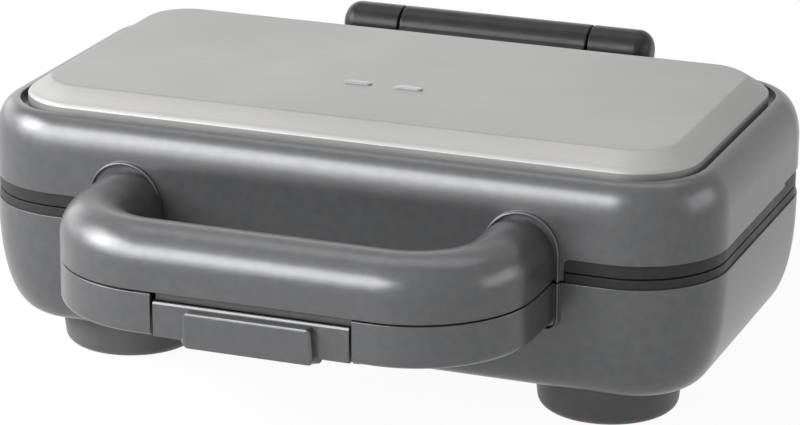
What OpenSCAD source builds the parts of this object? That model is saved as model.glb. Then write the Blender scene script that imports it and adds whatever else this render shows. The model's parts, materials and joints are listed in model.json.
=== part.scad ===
// Two-slice sandwich toaster with a hinged lid, a looped handle and a swinging latch clip.
// Millimetres, +Z up, +X to the user's right, the handle towards -Y.
// The origin is on the worktop, under the middle of the whole object.

/* [Housings] */
// Width of the two housings
body_w = 280; // [270:1:320]
// Depth of the two housings, without handle and hinge
body_d = 154; // [148:1:180]
// Radius of the housings' upright corners
corner_r = 34; // [30:1:40]
// Wall of the plastic housings
wall = 2.5; // [2:0.1:3]
// Height of the base housing, from its floor to the seam
base_h = 44; // [42:1:54]
// How far the base wall curves inwards on its way down
base_curve_w = 16; // [10:1:17]
// Roundness of that curve, 2 is an ellipse
base_curve_n = 2.4; // [2:0.1:3]
// Height of the lid housing above the seam
lid_h = 36.7; // [36:0.1:44]
// How far the lid wall curves inwards at the top
lid_curve_w = 8; // [7:0.5:9]
// Height of that curve
lid_curve_h = 14.7; // [10:0.1:16]
// Lip of the lid housing around the metal top plate
rim_t = 1.2; // [1:0.1:1.6]
// How deep the metal top plate sits in the lid housing
deck_drop = 3.1; // [2.5:0.1:4]
// Clear height between base and lid pieces at the seam
seam_gap = 0.6; // [0.4:0.1:1]

/* [Metal top plate] */
// Gap between the metal plate and the housing's lip
plate_gap = 2.2; // [1.5:0.1:3]
// Sheet thickness of the metal plate
sheet_t = 0.9; // [0.6:0.1:1.2]
// Height of the plate's upright edge
plate_edge_h = 7; // [6:0.5:9]
// Rise of the plate's shoulder from the edge to the flat top
plate_shoulder_h = 3.6; // [2:0.1:5]
// Width of that shoulder
plate_shoulder_w = 10; // [7:0.5:12]
// Corner radius of the flat top inside the shoulder
plate_corner_r = 14.5; // [10:0.5:16]
// Length of the indicator lens bars
lens_w = 11; // [8:0.5:14]
// Width of the indicator lens bars
lens_d = 3; // [2:0.5:4]
// Distance of the lens bars from the middle line
lens_x = 9.9; // [8:0.1:14]
// Distance of the lens bars in front of the plate's middle
lens_y = 16; // [12:0.5:30]

/* [Cooking plates] */
// Gap between the plates' edge and the housings' outer face
plate_inset = 1.2; // [0.6:0.1:2]
// Thickness of the lower plate's edge
lower_edge_t = 3.4; // [3:0.1:5]
// Thickness of the upper plate's edge
upper_edge_t = 4.5; // [3.5:0.1:6]
// Width of one sandwich well
well_w = 114; // [106:1:116]
// Depth of one sandwich well, front to back
well_d = 112; // [106:1:116]
// Bar between the two wells
well_bar = 12; // [8:1:14]
// How deep the wells sink below the plate's edge
well_h = 12; // [8:0.5:13]
// Slope of the well walls, as the run from top to bottom
well_draft = 5; // [3:0.5:7]
// Width of the ridge that cuts each sandwich in two
ridge_w = 7; // [5:0.5:9]
// Metal thickness under and around the wells
cast_t = 2.8; // [2.2:0.1:3.5]

/* [Heating] */
// Radius of the tubular heating elements
element_r = 3.25; // [3:0.05:4]
// Bend radius of the element's loop, and half its width
element_bend_r = 22; // [19:0.5:23]
// Straight length of the element's legs
element_leg = 150; // [130:1:160]
// Sheet thickness of the reflectors
reflector_t = 0.6; // [0.5:0.1:1]
// Gap between element and reflector
reflector_gap = 1.5; // [1:0.1:2]
// Height of the reflectors' turned-up edge
reflector_lip = 3; // [2:0.5:4]
// Diameter of the thermostat
thermostat_d = 16; // [12:0.5:20]
// Height of the thermostat
thermostat_h = 6.5; // [5:0.5:7.5]

/* [Feet and screws] */
// Height of the feet, from the worktop to the base housing's floor
foot_h = 16; // [13:0.5:20]
// Radius of the two front feet
front_foot_r = 27; // [22:0.5:28]
// Radius of the two rear feet
rear_foot_r = 20; // [16:0.5:22]
// Taper of the feet from top to bottom
foot_taper = 1.4; // [0.5:0.1:2.5]
// Rounding of the feet's lower edge
foot_edge_r = 4; // [2:0.5:5]
// Distance of the feet's middle from the housings' sides
foot_side_in = 46; // [42:1:50]
// Distance of the front feet's middle from the housings' front
front_foot_in = 44; // [43:1:47]
// Distance of the rear feet's middle from the housings' back
rear_foot_in = 39; // [35:1:41]
// Radius of the rubber pads under the feet
pad_r = 10; // [8:0.5:11]
// How far the rubber pads stand below the feet
pad_proud = 0.6; // [0.4:0.1:1]
// Radius of the long housing screws
screw_r = 1.9; // [1.5:0.1:2.2]
// Radius of the screw heads
screw_head_r = 3.6; // [3:0.1:4]
// Height of the screw heads
screw_head_h = 2.2; // [1.8:0.1:2.6]
// Radial clearance of screws and pins that stay still
screw_clear = 0.1; // [0.05:0.01:0.2]
// Radius of the screw bosses
boss_r = 4.5; // [4:0.1:5]

/* [Handle] */
// Half the outside width of the handle
handle_half_w = 87.3; // [80:0.1:92]
// Reach of the handle in front of the housings
handle_reach = 62.7; // [55:0.1:75]
// Outside corner radius of the handle, seen from above
handle_corner_r = 43.2; // [36:0.1:50]
// Width of the handle's bar
bar_w = 26.5; // [24:0.1:30]
// Height of the upper handle above the seam
upper_bar_h = 21.8; // [20:0.1:26]
// Height of the lower handle below the seam
lower_bar_h = 15.5; // [13:0.1:18]
// Rounding of the lower handle's bottom edges
lower_bar_r = 2.5; // [1:0.1:4]
// Wall of the hollow handles
handle_wall = 2.4; // [2:0.1:2.8]
// Solid length at the root of each handle arm
arm_root = 11; // [8:0.5:14]
// How far the collars stand out from the housings
collar_t = 2.5; // [1.5:0.1:4]
// Radius of the collar's arch above each handle arm
collar_r = 14; // [13.6:0.1:16]
// Height of the collars above the seam
collar_h = 24.4; // [23:0.1:28]
// Depth of the collars below the seam
collar_low = 17.5; // [16:0.5:20]

/* [Latch] */
// Half the width of the latch panel
latch_half_w = 36.2; // [30:0.1:38]
// Side gap of the latch panel
latch_gap = 1; // [0.6:0.1:1.5]
// Thickness of the latch panel
latch_t = 3; // [2.5:0.1:3.5]
// Gap between the seam and the top of the latch panel
latch_drop = 2.6; // [1.6:0.1:3]
// Half the width of the thumb pad
thumb_half_w = 23.8; // [16:0.1:26]
// How far the thumb pad stands out
thumb_t = 3.7; // [3:0.1:7]
// Top of the thumb pad, below the seam
thumb_top = 3.9; // [3.4:0.1:6]
// Bottom of the thumb pad, below the seam
thumb_low = 17.1; // [15:0.1:18]
// Height of the latch pin above the seam
latch_pin_z = 4; // [3.5:0.1:5]
// Distance of the latch pin behind the handle's front face
latch_pin_back = 10.7; // [10:0.1:11]
// Radius of the latch pin
latch_pin_r = 1.5; // [1.2:0.1:1.8]
// Radius of the latch clip's barrel
latch_barrel_r = 3; // [2.8:0.1:3.2]
// Gap between the clip's hook and the keeper of the lower handle
hook_gap = 0.4; // [0.3:0.1:0.8]

/* [Hinge] */
// Distance of the hinge axis behind the housings
hinge_back = 32; // [28:0.5:36]
// Height of the hinge axis above the seam
hinge_up = 30.4; // [27:0.1:34]
// Radius of the hinge barrel
barrel_r = 8.5; // [7:0.1:9.5]
// Half the length of the barrel's middle piece
knuckle_half_w = 38.9; // [32:0.1:44]
// Gap between the barrel's pieces
knuckle_gap = 0.8; // [0.5:0.1:1.2]
// Half the length of the whole barrel
barrel_half_w = 64; // [60:0.5:70]
// Rounding of the barrel's outer ends
barrel_end_r = 6; // [3:0.5:6.5]
// Radius of the hinge pin
hinge_pin_r = 3; // [2.5:0.1:3.5]
// Running clearance around the hinge pin and the latch pin
run_clear = 0.05; // [0.02:0.01:0.1]

/* [Wiring] */
// Distance of the mains lead's gland from the middle line
gland_x = 88; // [80:1:94]
// Radius of the hole in the gland
gland_bore_r = 3.6; // [3:0.1:4]
// Radius of the internal leads
lead_r = 1.1; // [0.8:0.1:1.3]

/* [Hidden] */

$fn = 96;
hull_fn = 32;       // fineness of the outlines that are blended together
eps = 0.01;         // thickness of an outline that is only a step of a blend
over = 1;           // how far a cutting shape reaches past what it cuts
curve_steps = 9;    // steps of the housings' curved walls

// Levels, from the worktop upwards
seam_z = foot_h + base_h;
lid_z = seam_z + seam_gap;
floor_z = foot_h + wall;
lower_land_z = seam_z + lower_edge_t;
upper_land_z = lower_land_z + seam_gap;
band_top_z = upper_land_z + upper_edge_t;
rim_z = seam_z + lid_h;
deck_top_z = rim_z - deck_drop;
deck_low_z = deck_top_z - wall;
lower_tub_z = lower_land_z - well_h - cast_t;
upper_tub_z = upper_land_z + well_h + cast_t;
lower_element_z = lower_tub_z - element_r - screw_clear;
upper_element_z = upper_tub_z + element_r + screw_clear;
lower_reflector_z = lower_element_z - element_r - reflector_gap - reflector_t;
upper_reflector_z = upper_element_z + element_r + reflector_gap;
plate_top_z = deck_top_z + plate_edge_h + plate_shoulder_h;

// Outlines, seen from above
front_y = -body_d / 2;
back_y = body_d / 2;
rim_w = body_w - 2 * lid_curve_w;
rim_d = body_d - 2 * lid_curve_w;
rim_r = corner_r - lid_curve_w;
well_x = (well_bar + well_w) / 2;
tub_w = 2 * well_w + well_bar + 2 * cast_t;
tub_d = well_d + 2 * cast_t;
tub_r = 12;
bead = 1.2;         // rounding of the inside corners where edges meet
foot_x = body_w / 2 - foot_side_in;
front_foot_y = body_d / 2 - front_foot_in;
rear_foot_y = body_d / 2 - rear_foot_in;
foot_recess = 2;
vent_side_count = 4;
vent_pitch = 9;
vent_w = 4;
vent_l = 44;
vent_r = 1.9;

// Handle
bar_front_y = front_y - handle_reach;
collar_y = front_y - collar_t;
arm_x = handle_half_w - bar_w / 2;
collar_side = 2.1;
collar_x = handle_half_w + collar_side - collar_r;
bar_round_z = seam_z + upper_bar_h - bar_w / 2;
handle_bend_x = handle_half_w - handle_corner_r;
handle_bend_y = bar_front_y + handle_corner_r;
collar_foot_r = 4;
skirt_half_w = collar_x + collar_r;
strip_end_x = skirt_half_w + 1.7;
flange_front_y = front_y + wall + 2;
upper_arm_screw_z = band_top_z + screw_head_r + 1.5;
lower_arm_screw_z = seam_z - lower_bar_h / 2;

// Latch
pin_y = bar_front_y + latch_pin_back;
pin_z = seam_z + latch_pin_z;
recess_half_w = latch_half_w + latch_gap;
recess_back_y = pin_y + latch_barrel_r + 1.2;
rib_half_w = 31;
rib_t = 2.4;
pin_bore_l = 2 * (rib_half_w + rib_t) + 2 * over;
cover_t = 1.6;
cover_fit = 0.15;
latch_low_z = seam_z - lower_bar_h;
hook_t = 2.2;
hook_z = latch_low_z + 0.8;
arm_t = 3;
keeper_w = 40;
keeper_reach = 1.6;
keeper_t = 3;
barrel_half_l = rib_half_w - 0.5;
web_up = 3;
web_t = 3;
thumb_corner_r = 2;
apron_set = 0.25;   // how far the apron above the panel lies behind the handle's face
apron_r = norm([latch_pin_back - apron_set, latch_pin_z - seam_gap]);
apron_t = 1.7;
apron_low_a = 38.5;   // the apron ends this many degrees below the pin's level
latch_room_r = apron_r + 0.65;

// Hinge
hinge_y = back_y + hinge_back;
hinge_z = seam_z + hinge_up;
tower_in = knuckle_half_w + knuckle_gap;
tower_screw_x = (tower_in + barrel_half_w) / 2;
tower_low_z = seam_z - 20;
pin_half_l = barrel_half_w - 4;
tower_foot_t = 8;
tower_screw_z = tower_low_z + 10;
tower_screw_l = 9;
arm_screw_x = 25;
arm_foot_t = 4;
arm_screw_l = 8;
arm_low_z = band_top_z + 1;
arm_high_z = rim_z - lid_curve_h;
arm_screw_z = (arm_low_z + arm_high_z) / 2;

// Screws in the handle's arms
screw_tip_gap = 2;
arm_bore_l = arm_root - 1;
arm_thread_l = arm_root - 1 - screw_tip_gap;

// Heating, wiring and lamps
pin_out = 4;                    // contact pins at the elements' ends
pin_r = element_r / 2;
element_turn = element_r * 2;
element_end_x = element_leg / 2 + element_turn;
reflector_side_in = 2;
reflector_end_in = 1;
lead_hole_clear = 1;
gland_wall = 2.8;
gland_r = gland_bore_r + gland_wall;
gland_z = foot_h + base_h / 2;
gland_flange = 1.6;
gland_flange_t = 2.4;
gland_inside = 4.5;
block_w = 26;
block_d = 14;
block_h = 10;
block_pitch = 8;
block_screw_r = 1.6;
block_x = gland_x - block_w;
block_y = back_y - base_curve_w - block_d;
lead_z = floor_z + block_h / 2;
fuse_r = 2.6;
fuse_l = 18;
strap_w = 6;
strap_l = 8;
strap_t = 1.2;
stem_w = lens_w - 2;
stem_d = lens_d - 1;
stem_r = 0.9;
stem_clear = 0.15;
lens_rise = 0.7;
holder_end = 9;
holder_half_d = 5;
holder_floor = 0.8;
holder_clear = 0.4;
holder_h = deck_low_z - upper_reflector_z - reflector_t - holder_clear;
lamp_half_l = 4;
lamp_room = 2;
lead_half_pitch = 3;
lead_run_x = 34;
lead_end_in = 14;

// The whole object is centred on the origin, thumb pad to hinge barrel
shift_y = -(bar_front_y - thumb_t + hinge_y + barrel_r) / 2;

metal_color = [0.78, 0.78, 0.77];
dark_color = [0.36, 0.36, 0.38];
black_color = [0.15, 0.15, 0.15];
steel_color = [0.6, 0.6, 0.62];
cast_color = [0.2, 0.2, 0.2];
lamp_color = [0.85, 0.35, 0.1];

module place() {
    translate([0, shift_y, 0]) children();
}

module mirror_x() {
    children();
    mirror([1, 0, 0]) children();
}

// A rectangle with round corners, centred
module rounded_rect(w, d, r) {
    square([w - 2 * r, d], center = true);
    square([w, d - 2 * r], center = true);
    for (sx = [-1, 1], sy = [-1, 1])
        translate([sx * (w / 2 - r), sy * (d / 2 - r)]) circle(r);
}

module slab(w, d, r, low, high) {
    translate([0, 0, low]) linear_extrude(high - low) rounded_rect(w, d, r);
}

// Share of a curve's width used up at the share t of its height
function curve_in(t, n) = 1 - pow(max(0, 1 - pow(t, n)), 1 / n);

// One outline of a housing, pulled in all round
module outline_step(inset, z) {
    translate([0, 0, z])
        linear_extrude(eps)
            rounded_rect(body_w - 2 * inset, body_d - 2 * inset, max(corner_r - inset, 2), $fn = hull_fn);
}

// Base housing's outer form, or its hollow when it is given a wall
module base_form(skin, high) {
    h = base_h - skin;
    hull() {
        outline_step(skin, high - eps);
        for (i = [1:curve_steps])
            let (t = sin(90 * i / curve_steps))
                outline_step(skin + base_curve_w * curve_in(t, base_curve_n), seam_z - h * t);
    }
}

// Lid housing's outer form, or its hollow when it is given a wall
module lid_form(skin, low, high) {
    curve_z = rim_z - lid_curve_h;
    hull() {
        outline_step(skin, low);
        for (i = [0:curve_steps])
            let (t = sin(90 * i / curve_steps))
                if (curve_z + lid_curve_h * t < high)
                    outline_step(skin + lid_curve_w * curve_in(t, 2), curve_z + lid_curve_h * t);
        outline_step(skin + lid_curve_w * curve_in((high - curve_z) / lid_curve_h, 2), high - eps);
    }
}

// How far the base's inner wall lies behind its outer face at the seam, at the level z
function base_wall_in(z) = wall + base_curve_w * curve_in((seam_z - z) / (base_h - wall), base_curve_n);

function screw_places() = [for (sx = [-1, 1]) for (y = [-front_foot_y, rear_foot_y]) [sx * foot_x, y]];

module at_screws() {
    for (p = screw_places()) translate([p[0], p[1], 0]) children();
}

// A screw that stands on its head at z = 0 and points up
module screw(r, length, head_r, head_h) {
    translate([0, 0, -head_h]) cylinder(r = head_r, h = head_h);
    cylinder(r = r, h = length);
}

// Collar outline around a handle arm, upright, in X and Z
module collar_face(low, high, arch) {
    if (arch) {
        difference() {
            translate([collar_x, high - collar_r]) circle(collar_r);
            translate([0, low - collar_r]) square([body_w, collar_r]);
        }
        translate([collar_x - collar_r, low]) square([2 * collar_r, high - collar_r - low]);
    } else {
        r = collar_foot_r;
        translate([collar_x - collar_r, low + r]) square([2 * collar_r, high - low - r]);
        translate([collar_x - collar_r + r, low]) square([2 * (collar_r - r), r + over]);
        for (sx = [-1, 1]) translate([collar_x + sx * (collar_r - r), low + r]) circle(r);
    }
}

// Stands an X-Z outline up and gives it depth from y0 to y1
module stand_up(y0, y1) {
    translate([0, y1, 0]) rotate([90, 0, 0]) linear_extrude(y1 - y0) children();
}

module base_shell() {
    color(dark_color) place() {
        difference() {
            union() {
                difference() {
                    union() {
                        base_form(0, seam_z);
                        mirror_x() stand_up(collar_y, front_y + wall)
                            collar_face(seam_z - collar_low, seam_z, false);
                    }
                    base_form(wall, seam_z + over);
                }
                at_screws() translate([0, 0, floor_z - wall / 2])
                    cylinder(r = boss_r, h = lower_reflector_z - floor_z + wall / 2);
            }
            at_screws() translate([0, 0, foot_h - over])
                cylinder(r = screw_r + screw_clear, h = base_h);
            mirror_x() translate([arm_x, front_y - collar_t - over, lower_arm_screw_z])
                rotate([-90, 0, 0]) cylinder(r = screw_r + screw_clear, h = collar_t + wall + 2 * over);
            for (x = [tower_screw_x, -tower_screw_x])
                translate([x, back_y - wall - 2 * over, tower_screw_z])
                    rotate([-90, 0, 0]) cylinder(r = screw_r + screw_clear, h = wall + 4 * over);
            translate([gland_x, back_y - wall - 4 * over, gland_z])
                rotate([-90, 0, 0]) cylinder(r = gland_r, h = wall + 6 * over);
            for (i = [-vent_side_count:vent_side_count]) translate([i * vent_pitch, 0, foot_h - over])
                linear_extrude(wall + 2 * over) rounded_rect(vent_w, vent_l, vent_r);
        }
    }
}

// A round foot with a rounded lower edge and a recess for its pad
module foot(r) {
    low_r = r - foot_taper;
    difference() {
        rotate_extrude() difference() {
            union() {
                polygon([[0, pad_proud], [low_r - foot_edge_r, pad_proud], [low_r, pad_proud + foot_edge_r],
                    [r, foot_h], [0, foot_h]]);
                translate([low_r - foot_edge_r, pad_proud + foot_edge_r]) circle(foot_edge_r);
            }
            translate([-r, pad_proud]) square([r, foot_h]);
        }
        cylinder(r = pad_r + screw_clear, h = pad_proud + foot_recess);
        cylinder(r = screw_r + screw_clear, h = foot_h + over);
        cylinder(r = screw_head_r + screw_clear, h = pad_proud + foot_recess + screw_head_h + screw_clear);
    }
}

module front_feet() {
    color(black_color) place()
        for (sx = [-1, 1]) translate([sx * foot_x, -front_foot_y, 0]) foot(front_foot_r);
}

module rear_feet() {
    color(black_color) place()
        for (sx = [-1, 1]) translate([sx * foot_x, rear_foot_y, 0]) foot(rear_foot_r);
}

module foot_pads() {
    color(black_color) place() at_screws() cylinder(r = pad_r, h = pad_proud + foot_recess);
}

module base_screws() {
    head_z = pad_proud + foot_recess + screw_head_h + screw_clear;
    color(steel_color) place() at_screws() translate([0, 0, head_z])
        screw(screw_r, lower_tub_z - head_z - screw_tip_gap, screw_head_r, screw_head_h);
}

// Corners of the three-sided sandwich pocket in one half of a well
function pocket_corners(hx, hy, ridge, r) =
    let (slant = norm([hx, hy]), away = (r + ridge) * slant)
        [[-hx + r, -hy + r], [(hx * (hy - r) - away) / hy, -hy + r], [-hx + r, (hy * (hx - r) - away) / hx]];

module pocket() {
    r = 5;
    hx = well_w / 2;
    hy = well_d / 2;
    hull() {
        for (p = pocket_corners(hx, hy, ridge_w / 2, r))
            translate([p[0], p[1], 0]) cylinder(r = r, h = over, $fn = hull_fn);
        for (p = pocket_corners(hx - well_draft, hy - well_draft, ridge_w / 2 + well_draft / 2, r))
            translate([p[0], p[1], -well_h]) cylinder(r = r, h = eps, $fn = hull_fn);
    }
}

// The four pockets below z = 0, two in each well
module pockets() {
    mirror_x() translate([well_x, 0, 0]) {
        pocket();
        rotate(180) pocket();
    }
}

// A cast plate, wells down, with its edge's top at z = 0
module cooking_plate(edge_t, boss_h) {
    difference() {
        union() {
            slab(body_w - 2 * plate_inset, body_d - 2 * plate_inset, corner_r - plate_inset, -edge_t, 0);
            slab(tub_w, tub_d, tub_r, -well_h - cast_t, -edge_t / 2);
            at_screws() translate([0, 0, -well_h - cast_t - boss_h])
                cylinder(r = boss_r, h = boss_h + cast_t / 2);
        }
        pockets();
        translate([-strip_end_x, front_y, -edge_t - over])
            cube([2 * strip_end_x, flange_front_y - front_y, edge_t + 2 * over]);
        at_screws() translate([0, 0, -well_h - cast_t - boss_h - over])
            cylinder(r = screw_r + screw_clear, h = boss_h + over + cast_t * 0.6);
    }
}

module lower_cooking_plate() {
    color(cast_color) place() translate([0, 0, lower_land_z])
        cooking_plate(lower_edge_t, lower_tub_z - lower_reflector_z - reflector_t);
}

module upper_cooking_plate() {
    color(cast_color) place() translate([0, 0, upper_land_z]) mirror([0, 0, 1])
        cooking_plate(upper_edge_t, upper_reflector_z - upper_tub_z);
}

// A U-shaped tubular element in the plane z = 0, its two ends turned to +Z
module element(rise) {
    turn = element_turn;
    leg_end = element_leg / 2;
    for (sy = [-1, 1]) {
        translate([-leg_end, sy * element_bend_r, 0]) rotate([0, 90, 0])
            cylinder(r = element_r, h = element_leg);
        translate([leg_end, sy * element_bend_r, turn]) rotate([90, 0, 0]) rotate([0, 0, -90])
            rotate_extrude(angle = 90) translate([turn, 0]) circle(element_r);
        translate([leg_end + turn, sy * element_bend_r, turn]) cylinder(r = element_r, h = rise - turn);
        translate([leg_end + turn, sy * element_bend_r, rise - over]) cylinder(r = pin_r, h = pin_out + over);
    }
    translate([-leg_end, 0, 0]) rotate(90) rotate_extrude(angle = 180)
        translate([element_bend_r, 0]) circle(element_r);
}

module lower_heating_element() {
    color(steel_color) place() translate([0, 0, lower_element_z]) mirror([0, 0, 1])
        element(element_turn + reflector_gap + pin_out);
}

module upper_heating_element() {
    color(steel_color) place() translate([0, 0, upper_element_z]) difference() {
        element(element_turn + over);
        translate([0, 0, deck_low_z - upper_element_z - over]) linear_extrude(lid_h)
            square(body_w, center = true);
    }
}

// A sheet tray with a turned edge, floor at z = 0, edge towards +Z
module reflector() {
    w = tub_w - 2 * reflector_side_in;
    d = tub_d - 2 * reflector_end_in;
    difference() {
        slab(w, d, tub_r, 0, reflector_t + reflector_lip);
        slab(w - 2 * reflector_t, d - 2 * reflector_t, tub_r - reflector_t, reflector_t,
            reflector_lip + over);
        at_screws() translate([0, 0, -over]) cylinder(r = screw_r + screw_clear, h = 2 * over + reflector_t);
        for (sy = [-1, 1]) translate([element_end_x, sy * element_bend_r, -over])
            cylinder(r = element_r + lead_hole_clear, h = 2 * over + reflector_t);
        translate([0, 0, -over]) cylinder(r = thermostat_d / 4, h = 2 * over + reflector_t);
    }
}

module lower_reflector() {
    color(metal_color) place() translate([0, 0, lower_reflector_z]) reflector();
}

module upper_reflector() {
    color(metal_color) place() translate([0, 0, upper_reflector_z + reflector_t]) mirror([0, 0, 1])
        reflector();
}

// A snap disc in its can, with a stepped cap and two flat terminals
module thermostat() {
    cap_h = 2;
    tab = [6, 5, 0.8];
    tab_down = 2.4;
    color(steel_color) place() translate([0, 0, lower_tub_z - thermostat_h]) {
        translate([0, 0, cap_h]) cylinder(d = thermostat_d, h = thermostat_h - cap_h);
        cylinder(d = thermostat_d * 0.7, h = cap_h + over / 2);
        for (sx = [-1, 1]) translate([sx * (thermostat_d / 2 + 1), 0, thermostat_h - tab_down])
            cube(tab, center = true);
    }
}

// A tubular fuse in its sleeve, strapped under the lower plate
module thermal_fuse() {
    axis_down = fuse_r + 0.4;
    color(metal_color) place() translate([-element_leg / 3, 0, lower_tub_z - axis_down]) {
        translate([-fuse_l / 2, 0, 0]) rotate([0, 90, 0]) cylinder(r = fuse_r, h = fuse_l);
        translate([-strap_w / 2, -strap_l / 2, axis_down - strap_t]) cube([strap_w, strap_l, strap_t]);
    }
}

// Three-way screw connector on the base's floor
module terminal_block() {
    color(metal_color) place() translate([block_x, block_y, floor_z]) difference() {
        translate([-block_w / 2, -block_d / 2, 0]) cube([block_w, block_d, block_h]);
        for (i = [-1:1]) {
            translate([i * block_pitch, -block_d, block_h / 2]) rotate([-90, 0, 0])
                cylinder(r = lead_r + 0.6, h = 2 * block_d);
            translate([i * block_pitch, 0, block_h / 2]) cylinder(r = block_screw_r, h = block_h);
        }
    }
}

// A grommet in the base's rear wall, where the mains lead would pass
module cord_gland() {
    inside = back_y - wall - gland_inside;
    color(black_color) place() translate([gland_x, 0, gland_z]) difference() {
        union() {
            translate([0, inside, 0]) rotate([-90, 0, 0])
                cylinder(r = gland_r - screw_clear, h = back_y - inside + over);
            translate([0, back_y, 0]) rotate([-90, 0, 0])
                cylinder(r = gland_r + gland_flange, h = gland_flange_t);
        }
        translate([0, inside - over, 0]) rotate([-90, 0, 0])
            cylinder(r = gland_bore_r, h = gland_inside + wall + gland_flange_t + 2 * over);
    }
}

// A stiff lead through the given points, each stretch along one axis
module lead(points) {
    for (i = [0:len(points) - 2]) {
        low = [for (k = [0:2]) min(points[i][k], points[i + 1][k]) - lead_r];
        high = [for (k = [0:2]) max(points[i][k], points[i + 1][k]) + lead_r];
        translate(low) cube(high - low);
    }
}

module base_leads() {
    end_z = lower_element_z - element_turn - reflector_gap - 2 * pin_out - lead_r;
    sensor_z = lower_tub_z - thermostat_h - lead_r;
    in_y = block_y - block_d / 2 + pin_out;
    color(black_color) place() {
        for (i = [-1, 1]) {
            x = block_x + i * block_pitch;
            lead([[element_end_x, i * element_bend_r, end_z], [x, i * element_bend_r, end_z],
                [x, i * element_bend_r, lead_z], [x, in_y, lead_z]]);
        }
        lead([[0, 0, sensor_z], [0, 0, lead_z], [block_x, 0, lead_z], [block_x, in_y, lead_z]]);
    }
}

// The handle's path: a section drawn at X = 0 across the bar, run round the loop
module handle_loop(root_y) {
    arm_l = root_y - handle_bend_y;
    for (sx = [-1, 1]) {
        translate([sx * handle_bend_x, handle_bend_y, 0]) rotate(sx > 0 ? -90 : 180)
            rotate_extrude(angle = 90) translate([handle_corner_r - bar_w / 2, 0]) children();
        translate([sx * arm_x, root_y, 0]) rotate([90, 0, 0]) linear_extrude(arm_l) children();
    }
    translate([-handle_bend_x, bar_front_y + bar_w / 2, 0]) rotate([90, 0, 90])
        linear_extrude(2 * handle_bend_x) children();
}

// Section of the upper bar, or of its hollow when it is given a skin
module upper_section(skin, low) {
    w = bar_w - 2 * skin;
    difference() {
        translate([0, bar_round_z]) circle(w / 2);
        translate([-w, low - w]) square([2 * w, w]);
    }
    translate([-w / 2, low]) square([w, bar_round_z - low]);
}

// Section of the lower bar
module lower_section() {
    w = bar_w;
    low = seam_z - lower_bar_h;
    translate([-w / 2, low + lower_bar_r]) square([w, lower_bar_h - lower_bar_r]);
    translate([-w / 2 + lower_bar_r, low]) square([w - 2 * lower_bar_r, lower_bar_r + over]);
    for (sx = [-1, 1]) translate([sx * (w / 2 - lower_bar_r), low + lower_bar_r]) circle(lower_bar_r);
}

module upper_handle() {
    color(dark_color) place() difference() {
        union() {
            difference() {
                handle_loop(collar_y) upper_section(0, lid_z);
                handle_loop(collar_y - arm_root) upper_section(handle_wall, lid_z - over);
            }
            // ribs that carry the latch pin
            for (sx = [-1, 1]) translate([sx * (rib_half_w + rib_t / 2), 0, 0])
                rotate([90, 0, 90]) translate([bar_front_y + bar_w / 2, 0, -rib_t / 2])
                    linear_extrude(rib_t) upper_section(handle_wall - 0.2, lid_z);
        }
        translate([-pin_bore_l / 2, pin_y, pin_z]) rotate([0, 90, 0])
            cylinder(r = latch_pin_r + run_clear, h = pin_bore_l);
        mirror_x() translate([arm_x, collar_y + over, upper_arm_screw_z]) rotate([90, 0, 0])
            cylinder(r = screw_r + screw_clear, h = arm_bore_l + over);
    }
    // curved apron that fills the slit above the latch panel
    color(dark_color) place() translate([-latch_half_w, pin_y, pin_z]) rotate([90, 0, 90])
        linear_extrude(2 * latch_half_w) difference() {
            circle(apron_r);
            circle(apron_r - apron_t);
            rotate(apron_low_a) translate([-2 * apron_r, -4 * apron_r]) square(4 * apron_r);
            translate([-2 * apron_r, -latch_pin_z + seam_gap + over / 2]) square(4 * apron_r);
        }
}

// Flat plates that close the upper handle's underside on each side of the latch
module upper_handle_cover() {
    t = cover_t;
    fit = cover_fit;
    color(dark_color) place() difference() {
        translate([0, 0, lid_z + 0.2]) handle_loop(collar_y - arm_root - fit)
            translate([-bar_w / 2 + handle_wall + fit, 0]) square([bar_w - 2 * handle_wall - 2 * fit, t]);
        translate([-rib_half_w - rib_t - fit, bar_front_y - over, lid_z - over])
            cube([2 * (rib_half_w + rib_t + fit), bar_w + 2 * over, t + 3 * over]);
    }
}

module latch_pin() {
    color(steel_color) place() translate([-rib_half_w - rib_t, pin_y, pin_z]) rotate([0, 90, 0])
        cylinder(r = latch_pin_r, h = 2 * (rib_half_w + rib_t));
}

module lower_handle() {
    w = bar_w - 2 * handle_wall;
    inner_top = seam_z - handle_wall;
    color(dark_color) place() {
        difference() {
            union() {
                difference() {
                    handle_loop(collar_y) lower_section();
                    handle_loop(collar_y - arm_root) translate([-w / 2, latch_low_z - over])
                        square([w, inner_top - latch_low_z + over]);
                }
                // wall behind the latch and its end cheeks
                translate([-recess_half_w - handle_wall, recess_back_y, latch_low_z])
                    cube([2 * (recess_half_w + handle_wall), handle_wall, lower_bar_h]);
                for (sx = [-1, 1]) translate([sx * (recess_half_w + handle_wall / 2) - handle_wall / 2,
                    bar_front_y + handle_wall / 2, latch_low_z])
                    cube([handle_wall, recess_back_y - bar_front_y, lower_bar_h]);
            }
            translate([-recess_half_w, bar_front_y - over, latch_low_z - over])
                cube([2 * recess_half_w, recess_back_y - bar_front_y + over, lower_bar_h + 2 * over]);
            mirror_x() translate([arm_x, collar_y + over, lower_arm_screw_z]) rotate([90, 0, 0])
                cylinder(r = screw_r + screw_clear, h = arm_bore_l + over);
        }
        // keeper that the clip's hook goes under
        translate([-keeper_w / 2, recess_back_y - keeper_reach, hook_z + hook_t + hook_gap])
            cube([keeper_w, keeper_reach + handle_wall / 2, keeper_t]);
    }
}

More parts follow.
